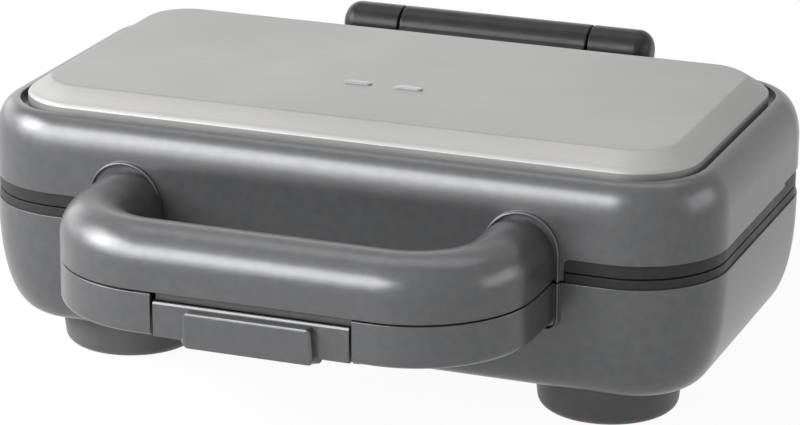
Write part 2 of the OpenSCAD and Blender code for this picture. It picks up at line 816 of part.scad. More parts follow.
// The latch clip: barrel on the pin, arm, hook, visible panel and thumb pad
module latch_clip() {
    barrel_l = 2 * barrel_half_l;
    r = thumb_corner_r;
    arm_y = pin_y - arm_t / 2;
    hook_tip_y = recess_back_y - keeper_reach - hook_gap;
    panel_top_z = seam_z - latch_drop;
    panel_y = bar_front_y + latch_t;
    panel_ledge_y = pin_y - sqrt(pow(latch_room_r, 2) - pow(pin_z - panel_top_z, 2));
    panel_back_z = pin_z - sqrt(pow(latch_room_r, 2) - pow(pin_y - panel_y, 2));
    web_z = latch_low_z + web_up;
    color(dark_color) place() difference() {
        union() {
            translate([-barrel_l / 2, pin_y, pin_z]) rotate([0, 90, 0])
                cylinder(r = latch_barrel_r, h = barrel_l);
            translate([-barrel_l / 2, 0, 0]) rotate([90, 0, 90]) linear_extrude(barrel_l) {
                translate([arm_y, hook_z]) square([arm_t, pin_z - hook_z]);
                translate([arm_y, hook_z]) square([hook_tip_y - arm_y, hook_t]);
                translate([bar_front_y + latch_t / 2, web_z]) square([arm_y - bar_front_y, web_t]);
            }
            translate([-latch_half_w, 0, 0]) rotate([90, 0, 90]) linear_extrude(2 * latch_half_w)
                polygon([[bar_front_y, latch_low_z + 1], [bar_front_y + 1, latch_low_z],
                    [panel_y, latch_low_z], [panel_y, panel_back_z], [panel_ledge_y, panel_top_z],
                    [bar_front_y, panel_top_z]]);
            hull() for (sx = [-1, 1], z = [seam_z - thumb_low, seam_z - thumb_top]) {
                up = z > seam_z - thumb_low ? -1 : 1;
                x = sx * (thumb_half_w - r);
                translate([x, bar_front_y - thumb_t + r, z + up * r]) sphere(r, $fn = 24);
                translate([x, bar_front_y + latch_t / 2, z + up * r]) rotate([90, 0, 0])
                    cylinder(r = r, h = over, $fn = 24);
            }
        }
        translate([-barrel_l / 2 - over, pin_y, pin_z]) rotate([0, 90, 0])
            cylinder(r = latch_pin_r + run_clear, h = barrel_l + 2 * over);
    }
}

module lower_handle_screws() {
    head_y = front_y + base_wall_in(lower_arm_screw_z - screw_head_r) + screw_clear;
    color(steel_color) place() mirror_x() translate([arm_x, head_y, lower_arm_screw_z])
        rotate([90, 0, 0]) screw(screw_r, wall + collar_t + arm_thread_l, screw_head_r, screw_head_h);
}

module upper_handle_screws() {
    color(steel_color) place() mirror_x() translate([arm_x, front_y + wall, upper_arm_screw_z])
        rotate([90, 0, 0]) screw(screw_r, wall + collar_t + arm_thread_l, screw_head_r, screw_head_h);
}

// A piece of the hinge barrel with one rounded end, from x0 outwards to x1
module barrel_piece(x0, x1, end_r) {
    translate([x0, hinge_y, hinge_z]) rotate([0, 90, 0]) rotate_extrude() difference() {
        union() {
            square([barrel_r, x1 - x0 - end_r]);
            square([barrel_r - end_r, x1 - x0]);
            translate([barrel_r - end_r, x1 - x0 - end_r]) circle(end_r);
        }
        translate([-barrel_r, -over]) square([barrel_r, x1 - x0 + 2 * over]);
    }
}

// One of the base's two hinge towers, on the +X side
module hinge_tower() {
    front = back_y + 2;
    difference() {
        union() {
            barrel_piece(tower_in, barrel_half_w, barrel_end_r);
            translate([tower_in, 0, 0]) rotate([90, 0, 90])
                linear_extrude(barrel_half_w - barrel_end_r - tower_in)
                    polygon([[back_y, tower_low_z], [back_y + tower_foot_t, tower_low_z],
                        [hinge_y + barrel_r * 0.9, hinge_z - barrel_r * 0.9],
                        [hinge_y + barrel_r * 0.9, hinge_z], [hinge_y - barrel_r * 0.8, hinge_z],
                        [front, seam_z - 1], [back_y, seam_z - 1]]);
        }
        translate([tower_in - over, hinge_y, hinge_z]) rotate([0, 90, 0])
            cylinder(r = hinge_pin_r + run_clear, h = pin_half_l - tower_in + over + 0.2);
        translate([tower_screw_x, back_y - over, tower_screw_z]) rotate([-90, 0, 0])
            cylinder(r = screw_r + screw_clear, h = over + tower_foot_t);
    }
}

module hinge_tower_right() {
    color(black_color) place() hinge_tower();
}

module hinge_tower_left() {
    color(black_color) place() mirror([1, 0, 0]) hinge_tower();
}

module hinge_tower_screws() {
    head_y = back_y - base_wall_in(tower_screw_z - screw_head_r) - screw_clear;
    color(steel_color) place() mirror_x() translate([tower_screw_x, head_y, tower_screw_z])
        rotate([-90, 0, 0]) screw(screw_r, tower_screw_l, screw_head_r, screw_head_h);
}

module hinge_pin() {
    color(steel_color) place() translate([-pin_half_l, hinge_y, hinge_z]) rotate([0, 90, 0])
        cylinder(r = hinge_pin_r, h = 2 * pin_half_l);
}

// The lid's middle barrel piece and the arm that ties it to the lid's back
module lid_hinge_arm() {
    color(black_color) place() difference() {
        union() {
            translate([-knuckle_half_w, hinge_y, hinge_z]) rotate([0, 90, 0])
                cylinder(r = barrel_r, h = 2 * knuckle_half_w);
            translate([-knuckle_half_w, 0, 0]) rotate([90, 0, 90]) linear_extrude(2 * knuckle_half_w)
                polygon([[back_y, arm_low_z], [back_y + arm_foot_t, arm_low_z],
                    [hinge_y, hinge_z - barrel_r * 0.8], [hinge_y, hinge_z + barrel_r * 0.5],
                    [back_y, arm_high_z]]);
        }
        translate([-knuckle_half_w - over, hinge_y, hinge_z]) rotate([0, 90, 0])
            cylinder(r = hinge_pin_r + run_clear, h = 2 * (knuckle_half_w + over));
        for (sx = [-1, 1]) translate([sx * arm_screw_x, back_y - over, arm_screw_z]) rotate([-90, 0, 0])
            cylinder(r = screw_r + screw_clear, h = arm_screw_l + 2 * over);
    }
}

module lid_hinge_screws() {
    color(steel_color) place() for (sx = [-1, 1])
        translate([sx * arm_screw_x, back_y - wall, arm_screw_z]) rotate([-90, 0, 0])
            screw(screw_r, wall + arm_screw_l, screw_head_r, screw_head_h);
}

// Slots in the lid's deck and plate for the stems of the two lenses
module lens_slots(low, high, clear) {
    for (sx = [-1, 1]) translate([sx * lens_x, -lens_y, 0])
        slab(stem_w + 2 * clear, stem_d + 2 * clear, stem_r + clear, low, high);
}

module lid_shell() {
    skirt_low = lid_z;
    color(dark_color) place() difference() {
        union() {
            difference() {
                union() {
                    lid_form(0, band_top_z, rim_z);
                    mirror_x() stand_up(collar_y, front_y + wall)
                        collar_face(skirt_low, seam_z + collar_h, true);
                    translate([-skirt_half_w, front_y, skirt_low])
                        cube([2 * skirt_half_w, wall, rim_z - lid_curve_h - skirt_low]);
                }
                lid_form(wall, band_top_z - over, deck_low_z);
                slab(rim_w - 2 * rim_t, rim_d - 2 * rim_t, rim_r - rim_t, deck_top_z, rim_z + over);
            }
            at_screws() translate([0, 0, upper_reflector_z + reflector_t])
                cylinder(r = boss_r, h = deck_low_z - upper_reflector_z - reflector_t + wall / 2);
        }
        at_screws() translate([0, 0, band_top_z]) cylinder(r = screw_r + screw_clear, h = lid_h);
        mirror_x() translate([arm_x, collar_y - over, upper_arm_screw_z])
            rotate([-90, 0, 0]) cylinder(r = screw_r + screw_clear, h = collar_t + wall + 2 * over);
        for (sx = [-1, 1]) translate([sx * arm_screw_x, back_y - wall - over, arm_screw_z])
            rotate([-90, 0, 0]) cylinder(r = screw_r + screw_clear, h = wall + 2 * over);
        lens_slots(deck_low_z - over, deck_top_z + over, stem_clear);
    }
}

// Pressed form of the metal plate, or of its hollow when it is given a skin.
// Its edge section is turned at the four corners and run along the four sides.
module plate_form(skin) {
    w = rim_w - 2 * rim_t - 2 * plate_gap - 2 * skin;
    d = rim_d - 2 * rim_t - 2 * plate_gap - 2 * skin;
    r = plate_shoulder_w + plate_corner_r - skin;
    low = deck_top_z - (skin > 0 ? over : 0);
    edge_z = deck_top_z + plate_edge_h - skin;
    top_z = plate_top_z - skin;
    edge = [[0, low], [r, low], [r, edge_z], [r - 0.4, edge_z + 0.9], [r - 1.3, edge_z + 1.4],
        [plate_corner_r, top_z], [0, top_z]];
    for (turn = [0:3]) {
        along = turn % 2 == 0 ? w : d;
        across = turn % 2 == 0 ? d : w;
        rotate(90 * turn) {
            translate([along / 2 - r, across / 2 - r, 0]) rotate_extrude(angle = 90) polygon(edge);
            translate([along / 2 - r, r - across / 2, 0]) rotate([90, 0, 0]) mirror([0, 0, 1])
                linear_extrude(across - 2 * r) polygon(edge);
        }
    }
    translate([r - w / 2, r - d / 2, low]) cube([w - 2 * r, d - 2 * r, top_z - low]);
}

module lid_top_plate() {
    color(metal_color) place() difference() {
        plate_form(0);
        plate_form(sheet_t);
        lens_slots(deck_top_z, plate_top_z + over, stem_clear);
    }
}

// A lens bar that stands on the plate, with a stem down to its lamp
module lens(x) {
    color(lamp_color) place() translate([x, -lens_y, 0]) {
        slab(lens_w, lens_d, lens_d / 2 - 0.1, plate_top_z, plate_top_z + lens_rise);
        slab(stem_w, stem_d, stem_r, deck_low_z + 0.2, plate_top_z + lens_rise / 2);
    }
}

module power_lens() {
    lens(-lens_x);
}

module ready_lens() {
    lens(lens_x);
}

// Tray under the lid's deck that carries the two lamps
module lamp_holder() {
    half_w = lens_x + holder_end;
    pocket = [2 * (lamp_half_l + lamp_room), 2 * (holder_half_d - lamp_room), holder_h];
    color(metal_color) place() translate([0, -lens_y, deck_low_z - holder_h]) difference() {
        translate([-half_w, -holder_half_d, 0]) cube([2 * half_w, 2 * holder_half_d, holder_h]);
        for (sx = [-1, 1]) translate([sx * lens_x - pocket[0] / 2, -pocket[1] / 2, holder_floor])
            cube(pocket);
    }
}

module indicator_lamps() {
    r = min(1.5, (holder_h - holder_floor) / 2 - 0.05);
    color(lamp_color) place() for (sx = [-1, 1])
        translate([sx * lens_x - lamp_half_l, -lens_y, deck_low_z - holder_h + holder_floor + 0.05 + r])
            rotate([0, 90, 0]) cylinder(r = r, h = 2 * lamp_half_l);
}

// Two leads from the lamp holder towards the lid's back
module lid_leads() {
    z = (upper_reflector_z + reflector_t + deck_low_z) / 2;
    end_y = back_y - lid_curve_w - lead_end_in;
    color(black_color) place() for (sy = [-1, 1]) {
        x = lead_run_x - sy * lead_half_pitch;
        y = sy * lead_half_pitch - lens_y;
        lead([[lens_x + holder_end + lead_r, y, z], [x, y, z], [x, end_y, z]]);
    }
}

module lid_screws() {
    color(steel_color) place() at_screws() translate([0, 0, deck_top_z]) mirror([0, 0, 1])
        screw(screw_r, deck_top_z - upper_tub_z, screw_head_r, screw_head_h);
}

base_shell();
front_feet();
rear_feet();
foot_pads();
base_screws();
lower_cooking_plate();
lower_heating_element();
lower_reflector();
thermostat();
thermal_fuse();
terminal_block();
cord_gland();
base_leads();
lower_handle();
lower_handle_screws();
hinge_tower_left();
hinge_tower_right();
hinge_tower_screws();
hinge_pin();
lid_shell();
lid_top_plate();
power_lens();
ready_lens();
lamp_holder();
indicator_lamps();
upper_cooking_plate();
upper_heating_element();
upper_reflector();
lid_leads();
lid_screws();
upper_handle();
upper_handle_cover();
upper_handle_screws();
lid_hinge_arm();
lid_hinge_screws();
latch_pin();
latch_clip();
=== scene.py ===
import json
import math
import bpy
import bmesh
from mathutils import Matrix, Vector


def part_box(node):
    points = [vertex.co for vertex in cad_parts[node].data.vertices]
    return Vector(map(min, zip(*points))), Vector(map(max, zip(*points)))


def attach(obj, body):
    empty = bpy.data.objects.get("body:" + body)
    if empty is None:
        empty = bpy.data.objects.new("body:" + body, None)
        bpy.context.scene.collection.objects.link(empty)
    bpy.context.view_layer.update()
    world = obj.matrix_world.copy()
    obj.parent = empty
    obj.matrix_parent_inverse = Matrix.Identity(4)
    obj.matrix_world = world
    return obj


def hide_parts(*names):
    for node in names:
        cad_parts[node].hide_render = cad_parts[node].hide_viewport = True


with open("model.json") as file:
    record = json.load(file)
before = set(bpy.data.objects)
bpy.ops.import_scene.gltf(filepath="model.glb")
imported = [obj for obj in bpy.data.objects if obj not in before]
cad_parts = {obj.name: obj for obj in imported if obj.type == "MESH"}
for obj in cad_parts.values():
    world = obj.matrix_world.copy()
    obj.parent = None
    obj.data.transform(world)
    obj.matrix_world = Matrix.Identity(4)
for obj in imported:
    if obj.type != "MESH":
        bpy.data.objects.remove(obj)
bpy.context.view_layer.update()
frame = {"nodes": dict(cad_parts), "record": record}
mm = 0.001

# every shape below is drawn in millimetres; middleY is the middle of the housings in the row frame
baseLow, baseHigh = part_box("base_shell")
middleY = baseHigh.y / mm - 77.0
frontY = middleY - 77.0
backY = middleY + 77.0


def newFinish(name, **sockets):
    finish = bpy.data.materials.new(name)
    finish.use_nodes = True
    shader = finish.node_tree.nodes["Principled BSDF"]
    for key, value in sockets.items():
        shader.inputs[key].default_value = value
    return finish, finish.node_tree, shader


def addNode(tree, kind, inputs=None, **settings):
    node = tree.nodes.new(kind)
    for key, value in settings.items():
        setattr(node, key, value)
    for key, value in (inputs or {}).items():
        node.inputs[key].default_value = value
    return node


def objectPoint(tree, scale=(1, 1, 1), centre=(0, 0, 0), turn=(0, 0, 0)):
    where = addNode(tree, "ShaderNodeTexCoord")
    place = addNode(tree, "ShaderNodeMapping", {"Location": centre, "Rotation": turn, "Scale": scale})
    tree.links.new(where.outputs["Object"], place.inputs["Vector"])
    return place.outputs["Vector"]


def noiseBetween(tree, point, scale, low, high, detail=3.0, rough=0.55, spread=(0.3, 0.7)):
    noise = addNode(tree, "ShaderNodeTexNoise", {"Scale": scale, "Detail": detail, "Roughness": rough})
    tree.links.new(point, noise.inputs["Vector"])
    limits = {"From Min": spread[0], "From Max": spread[1], "To Min": low, "To Max": high}
    span = addNode(tree, "ShaderNodeMapRange", limits, interpolation_type="SMOOTHSTEP")
    tree.links.new(noise.outputs["Fac"], span.inputs["Value"])
    return span.outputs["Result"]


def tint(tree, shader, factor, dark, light):
    mix = addNode(tree, "ShaderNodeMix", data_type="RGBA")
    mix.inputs["A"].default_value = (*dark, 1)
    mix.inputs["B"].default_value = (*light, 1)
    tree.links.new(factor, mix.inputs["Factor"])
    tree.links.new(mix.outputs["Result"], shader.inputs["Base Color"])


def grain(tree, shader, height, strength, distance, over=None):
    bump = addNode(tree, "ShaderNodeBump", {"Strength": strength, "Distance": distance})
    tree.links.new(height, bump.inputs["Height"])
    if over is not None:
        tree.links.new(over, bump.inputs["Normal"])
    tree.links.new(bump.outputs["Normal"], shader.inputs["Normal"])
    return bump.outputs["Normal"]


charcoal = {
    "dark": (0.090, 0.091, 0.094), "light": (0.102, 0.103, 0.106),
    "metallic": 0.45, "rough": (0.275, 0.285),
}


def charcoalSatin():
    finish, tree, shader = newFinish("charcoal_satin", Metallic=charcoal["metallic"])
    point = objectPoint(tree)
    tint(tree, shader, noiseBetween(tree, point, 260, 0, 1, 4), charcoal["dark"], charcoal["light"])
    rough = noiseBetween(tree, point, 90, *charcoal["rough"], 3, spread=(0, 1))
    tree.links.new(rough, shader.inputs["Roughness"])
    flakes = noiseBetween(tree, point, 2600, 0, 1, 1.5, spread=(0, 1))
    grain(tree, shader, flakes, 0.04, 0.00006)
    return finish


topMetal = {"dark": (0.295, 0.293, 0.290), "light": (0.325, 0.322, 0.318), "rough": (0.56, 0.62)}


def satinPlate():
    finish, tree, shader = newFinish("satin_top_plate", Metallic=1.0)
    lines = objectPoint(tree, scale=(40, 1400, 1400))
    cloud = objectPoint(tree)
    tint(tree, shader, noiseBetween(tree, cloud, 9, 0, 1, 3), topMetal["dark"], topMetal["light"])
    brushed = noiseBetween(tree, lines, 1.0, 0, 1, 2)
    rough = addNode(tree, "ShaderNodeMapRange", {"To Min": topMetal["rough"][0], "To Max": topMetal["rough"][1]})
    tree.links.new(brushed, rough.inputs["Value"])
    tree.links.new(rough.outputs["Result"], shader.inputs["Roughness"])
    grain(tree, shader, brushed, 0.02, 0.00002)
    return finish


def mouldedBlack(name, dark, light, rough, texture=1500, strength=0.12, shine=0.5):
    finish, tree, shader = newFinish(name)
    shader.inputs["Specular IOR Level"].default_value = shine
    point = objectPoint(tree)
    tint(tree, shader, noiseBetween(tree, point, 120, 0, 1, 3), dark, light)
    tree.links.new(noiseBetween(tree, point, 70, *rough, 2), shader.inputs["Roughness"])
    grain(tree, shader, noiseBetween(tree, point, texture, 0, 1, 2), strength, 0.00008)
    return finish


def coatedCasting():
    finish, tree, shader = newFinish("coated_casting")
    shader.inputs["Specular IOR Level"].default_value = 0.22
    point = objectPoint(tree)
    speckle = noiseBetween(tree, point, 1900, 0, 1, 1, spread=(0.58, 0.78))
    tint(tree, shader, speckle, (0.020, 0.020, 0.021), (0.034, 0.034, 0.035))
    tree.links.new(noiseBetween(tree, point, 60, 0.42, 0.52, 3), shader.inputs["Roughness"])
    soft = grain(tree, shader, noiseBetween(tree, point, 420, 0, 1, 2), 0.08, 0.0001)
    grain(tree, shader, noiseBetween(tree, point, 2200, 0, 1, 1), 0.06, 0.00004, soft)
    return finish


def bareMetal(name, dark, light, rough, stretch=(1, 1, 1)):
    finish, tree, shader = newFinish(name, Metallic=1.0)
    point = objectPoint(tree, scale=stretch)
    tint(tree, shader, noiseBetween(tree, point, 90, 0, 1, 3), dark, light)
    tree.links.new(noiseBetween(tree, point, 240, *rough, 3), shader.inputs["Roughness"])
    grain(tree, shader, noiseBetween(tree, point, 1400, 0, 1, 1), 0.05, 0.00004)
    return finish


def wovenSleeve():
    finish, tree, shader = newFinish("woven_sleeve", Roughness=0.85)
    point = objectPoint(tree, turn=(0.7, 0, 0.7))
    weave = addNode(tree, "ShaderNodeTexWave", {"Scale": 900, "Distortion": 0.6, "Detail": 1})
    tree.links.new(point, weave.inputs["Vector"])
    tint(tree, shader, weave.outputs["Fac"], (0.58, 0.55, 0.47), (0.78, 0.76, 0.70))
    grain(tree, shader, weave.outputs["Fac"], 0.4, 0.0001)
    return finish


def tintedGlass():
    finish, tree, shader = newFinish("lamp_glass", IOR=1.48)
    shader.inputs["Transmission Weight"].default_value = 0.9
    point = objectPoint(tree)
    tint(tree, shader, noiseBetween(tree, point, 150, 0, 1), (0.9, 0.42, 0.16), (0.95, 0.52, 0.24))
    tree.links.new(noiseBetween(tree, point, 300, 0.05, 0.14), shader.inputs["Roughness"])
    return finish


finishes = {
    "charcoal_body": charcoalSatin(),
    "brushed_top": satinPlate(),
    "dark_plastic": mouldedBlack("grained_foot", (0.050, 0.050, 0.052), (0.064, 0.064, 0.066), (0.40, 0.48)),
    "black_plastic": mouldedBlack("satin_black", (0.010, 0.010, 0.011), (0.016, 0.016, 0.017), (0.30, 0.38),
                                  shine=0.22),
    "black_rubber": mouldedBlack("rubber", (0.018, 0.018, 0.018), (0.030, 0.030, 0.030), (0.72, 0.86), 900, 0.3),
    "bright_steel": bareMetal("plated_steel", (0.52, 0.52, 0.53), (0.64, 0.64, 0.64), (0.22, 0.36)),
    "nonstick_coating": coatedCasting(),
    "element_sheath": bareMetal("heated_sheath", (0.24, 0.20, 0.17), (0.38, 0.36, 0.34), (0.38, 0.55)),
    "reflector_sheet": bareMetal("mill_sheet", (0.68, 0.68, 0.69), (0.78, 0.78, 0.78), (0.24, 0.34), (1, 8, 8)),
    "fuse_sleeve": wovenSleeve(),
    "white_plastic": mouldedBlack("cream_plastic", (0.74, 0.72, 0.66), (0.80, 0.78, 0.73), (0.42, 0.52)),
    "lead_insulation": mouldedBlack("silicone_lead", (0.42, 0.08, 0.05), (0.50, 0.12, 0.08), (0.45, 0.60)),
    "grey_lens": mouldedBlack("grey_lens", (0.20, 0.20, 0.205), (0.25, 0.25, 0.255), (0.18, 0.26), 700, 0.03),
    "lamp_glass": tintedGlass(),
}
slotOf = {part["node"]: part["material_slot"] for part in frame["record"]["subparts"]}
for nodeName, node in frame["nodes"].items():
    node.data.materials.clear()
    node.data.materials.append(finishes[slotOf[nodeName]])
print("finishes made,", len(finishes))


def meshObject(name, points, faces, edges=()):
    mesh = bpy.data.meshes.new(name)
    mesh.from_pydata([Vector(p) * mm for p in points], list(edges), faces)
    mesh.update()
    made = bpy.data.objects.new(name, mesh)
    bpy.context.scene.collection.objects.link(made)
    return made


def outwards(made, mergeBy=0.0):
    work = bmesh.new()
    work.from_mesh(made.data)
    if mergeBy:
        bmesh.ops.remove_doubles(work, verts=work.verts, dist=mergeBy * mm)
    bmesh.ops.recalc_face_normals(work, faces=work.faces)
    work.to_mesh(made.data)
    work.free()
    return made


def loft(name, rings, caps=True):
    count = len(rings[0])
    points = [p for ring in rings for p in ring]
    faces = []
    for i in range(len(rings) - 1):
        for j in range(count):
            k = (j + 1) % count
            faces.append((i * count + j, i * count + k, (i + 1) * count + k, (i + 1) * count + j))
    if caps:
        faces.append(tuple(reversed(range(count))))
        faces.append(tuple(range((len(rings) - 1) * count, len(rings) * count)))
    return outwards(meshObject(name, points, faces))


def bake(made):
    graph = bpy.context.evaluated_depsgraph_get()
    mesh = bpy.data.meshes.new_from_object(made.evaluated_get(graph), depsgraph=graph)
    made.modifiers.clear()
    old = made.data
    made.data = mesh
    if old.users == 0:
        bpy.data.meshes.remove(old)
    return made


def combine(made, other, how="DIFFERENCE"):
    step = made.modifiers.new("combine", "BOOLEAN")
    step.operation, step.solver, step.object = how, "EXACT", other
    bake(made)
    bpy.data.objects.remove(other)
    return made


def gather(name, parts):
    work = bmesh.new()
    for part in parts:
        work.from_mesh(part.data)
        bpy.data.objects.remove(part)
    mesh = bpy.data.meshes.new(name)
    work.to_mesh(mesh)
    work.free()
    made = bpy.data.objects.new(name, mesh)
    bpy.context.scene.collection.objects.link(made)
    return made


def soften(made, width, steps=3, angle=40):
    step = made.modifiers.new("soften", "BEVEL")
    step.width, step.segments, step.limit_method = width * mm, steps, "ANGLE"
    step.angle_limit = math.radians(angle)
    step.use_clamp_overlap = True
    return bake(made)


def settle(made, body, slotName, nodes=(), sharp=32, weighted=True):
    mesh = made.data
    mesh.shade_smooth()
    mesh.set_sharp_from_angle(angle=math.radians(sharp))
    if weighted:
        step = made.modifiers.new("even", "WEIGHTED_NORMAL")
        step.keep_sharp, step.weight = True, 60
        bake(made)
    made.data.materials.clear()
    made.data.materials.append(finishes[slotName])
    made.data.polygons.foreach_set("material_index", [0] * len(made.data.polygons))
    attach(made, body)
    if nodes:
        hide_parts(*nodes)
    return made


def block(name, x0, x1, y0, y1, z0, z1):
    points = [(x, y, z) for x in (x0, x1) for y in (y0, y1) for z in (z0, z1)]
    faces = [(0, 1, 3, 2), (4, 6, 7, 5), (0, 4, 5, 1), (2, 3, 7, 6), (0, 2, 6, 4), (1, 5, 7, 3)]
    return outwards(meshObject(name, points, faces))


def alongX(name, x0, x1, section):
    return loft(name, [[(x, y, z) for y, z in section] for x in (x0, x1)])


def lathe(name, profile, axisPoint, axis="X", steps=64):
    rings = []
    for i in range(steps):
        a = 2 * math.pi * i / steps
        ring = []
        for along, radius in profile:
            c, s = radius * math.cos(a), radius * math.sin(a)
            if axis == "X":
                ring.append((axisPoint[0] + along, axisPoint[1] + c, axisPoint[2] + s))
            else:
                ring.append((axisPoint[0] + c, axisPoint[1] + s, axisPoint[2] + along))
        rings.append(ring)
    count = len(profile)
    points = [p for ring in rings for p in ring]
    faces = []
    for i in range(steps):
        n = (i + 1) % steps
        for j in range(count - 1):
            faces.append((i * count + j, i * count + j + 1, n * count + j + 1, n * count + j))
    made = meshObject(name, points, faces)
    return outwards(made, 0.001)


def arc(cx, cy, r, start, end, steps):
    return [(cx + r * math.cos(math.radians(start + (end - start) * i / steps)),
             cy + r * math.sin(math.radians(start + (end - start) * i / steps))) for i in range(steps + 1)]


def squircle(share, power):
    return 1 - (1 - min(share, 1) ** power) ** (1 / power)


housing = {
    "width": 280.0, "depth": 154.0, "cornerR": 34.0, "wall": 2.5,
    "floorZ": 16.0, "seamZ": 60.0, "curveIn": 16.0, "curvePower": 2.4,
    "edgeZ": 68.5, "skirtZ": 60.6, "skirtHalfW": 90.8, "skirtRound": 1.5, "rearStepY": 42.0, "rearStep": 1.6,
    "filletZ": 82.0, "filletIn": 8.0, "rimZ": 96.7, "rimT": 1.2, "deckZ": 93.6, "deckT": 2.5,
    "cornerSteps": 24, "curveSteps": 30,
}
skirtEnd = housing["skirtHalfW"] + 0.02
endArc = [skirtEnd - 0.02, skirtEnd]
endArc += [skirtEnd + housing["skirtRound"] * (1 - math.cos(math.radians(a))) for a in (30, 60, 90)]
frontXs = sorted([-x for x in endArc] + endArc)
sideYs = [-20.0, housing["rearStepY"] - middleY, housing["rearStepY"] - middleY + 0.9]


def outline(width, depth, radius, inset=0.0):
    hx, hy, r = width / 2 - inset, depth / 2 - inset, max(radius - inset, 0.5)
    cx, cy, steps = hx - r, hy - r, housing["cornerSteps"]
    ring = []
    for turn, (sx, sy) in enumerate(((1, -1), (1, 1), (-1, 1), (-1, -1))):
        ring += arc(sx * cx, sy * cy, r, -90 + 90 * turn, 90 * turn, steps)
        if turn == 0:
            ring += [(hx, y) for y in sideYs]
        if turn == 2:
            ring += [(-hx, y) for y in reversed(sideYs)]
        if turn == 3:
            ring += [(x, -hy) for x in frontXs]
    return [(x, y + middleY) for x, y in ring]


def bodyRing(inset, z):
    level = z if callable(z) else (lambda x, y: z)
    return [(x, y, level(x, y)) for x, y in outline(housing["width"], housing["depth"], housing["cornerR"], inset)]


def lidEdge(x, y):
    h = housing
    if y < middleY - 60 and abs(x) < frontXs[-1] - 0.001:
        if abs(x) <= h["skirtHalfW"] + 0.001:
            return h["skirtZ"]
        lift = min(1.0, max(0.0, (abs(x) - skirtEnd) / h["skirtRound"]))
        return h["edgeZ"] - h["skirtRound"] * (1 - math.sqrt(max(0.0, 1 - (1 - lift) ** 2)))
    if y > h["rearStepY"] + 0.5:
        return h["edgeZ"] + h["rearStep"]
    return h["edgeZ"]


def ventCutTree():
    tree = bpy.data.node_groups.new("floorVents", "GeometryNodeTree")
    tree.is_modifier = True
    sockets = tree.interface
    sockets.new_socket("Geometry", in_out="INPUT", socket_type="NodeSocketGeometry")
    for label, value in (("Slot Count", 9), ("Slot Width", 0.004), ("Slot Length", 0.044),
                         ("Spacing", 0.009), ("Cut Depth", 0.006)):
        kind = "NodeSocketInt" if label == "Slot Count" else "NodeSocketFloat"
        sockets.new_socket(label, in_out="INPUT", socket_type=kind).default_value = value
    sockets.new_socket("Finish", in_out="INPUT", socket_type="NodeSocketMaterial")
    sockets.new_socket("Geometry", in_out="OUTPUT", socket_type="NodeSocketGeometry")
    link = tree.links.new
    inside, outside = addNode(tree, "NodeGroupInput"), addNode(tree, "NodeGroupOutput")
    row = addNode(tree, "GeometryNodeMeshLine")
    step = addNode(tree, "ShaderNodeCombineXYZ")
    first = addNode(tree, "ShaderNodeCombineXYZ")
    gaps = addNode(tree, "ShaderNodeMath", {1: 1.0}, operation="SUBTRACT")
    half = addNode(tree, "ShaderNodeMath", {1: -0.5}, operation="MULTIPLY")
    startX = addNode(tree, "ShaderNodeMath", operation="MULTIPLY")
    link(inside.outputs["Slot Count"], gaps.inputs[0])
    link(gaps.outputs[0], half.inputs[0])
    link(half.outputs[0], startX.inputs[0])
    link(inside.outputs["Spacing"], startX.inputs[1])
    link(startX.outputs[0], first.inputs["X"])
    link(inside.outputs["Spacing"], step.inputs["X"])
    link(inside.outputs["Slot Count"], row.inputs["Count"])
    link(first.outputs[0], row.inputs["Start Location"])
    link(step.outputs[0], row.inputs["Offset"])
    slot = addNode(tree, "GeometryNodeCurvePrimitiveQuadrilateral")
    link(inside.outputs["Slot Width"], slot.inputs["Width"])
    link(inside.outputs["Slot Length"], slot.inputs["Height"])
    rounded = addNode(tree, "GeometryNodeFilletCurve", mode="POLY")
    rounded.inputs["Count"].default_value = 6
    radius = addNode(tree, "ShaderNodeMath", {1: 0.48}, operation="MULTIPLY")
    link(inside.outputs["Slot Width"], radius.inputs[0])
    link(radius.outputs[0], rounded.inputs["Radius"])
    link(slot.outputs["Curve"], rounded.inputs["Curve"])
    fill = addNode(tree, "GeometryNodeFillCurve", mode="NGONS")
    link(rounded.outputs["Curve"], fill.inputs["Curve"])
    push = addNode(tree, "GeometryNodeExtrudeMesh")
    push.inputs["Individual"].default_value = False
    link(fill.outputs["Mesh"], push.inputs["Mesh"])
    link(inside.outputs["Cut Depth"], push.inputs["Offset Scale"])
    turned = addNode(tree, "GeometryNodeFlipFaces")
    link(fill.outputs["Mesh"], turned.inputs["Mesh"])
    solid = addNode(tree, "GeometryNodeJoinGeometry")
    link(turned.outputs["Mesh"], solid.inputs["Geometry"])
    link(push.outputs["Mesh"], solid.inputs["Geometry"])
    weld = addNode(tree, "GeometryNodeMergeByDistance", {"Distance": 0.00001})
    link(solid.outputs["Geometry"], weld.inputs["Geometry"])
    spread = addNode(tree, "GeometryNodeInstanceOnPoints")
    link(row.outputs["Mesh"], spread.inputs["Points"])
    link(weld.outputs["Geometry"], spread.inputs["Instance"])
    real = addNode(tree, "GeometryNodeRealizeInstances")
    link(spread.outputs["Instances"], real.inputs["Geometry"])
    low = addNode(tree, "GeometryNodeTransform", {"Translation": (0, middleY * mm, (housing["floorZ"] - 1) * mm)})
    link(real.outputs["Geometry"], low.inputs["Geometry"])
    paint = addNode(tree, "GeometryNodeSetMaterial")
    link(low.outputs["Geometry"], paint.inputs["Geometry"])
    link(inside.outputs["Finish"], paint.inputs["Material"])
    link(paint.outputs["Geometry"], outside.inputs["Geometry"])
    return tree


def fromTree(name, tree, values, start=None):
    made = start or meshObject(name, [(0, 0, 0)], [])
    step = made.modifiers.new(name, "NODES")
    step.node_group = tree
    ids = {item.name: item.identifier for item in tree.interface.items_tree if item.in_out == "INPUT"}
    for label, value in values.items():
        step[ids[label]] = value
    return bake(made)


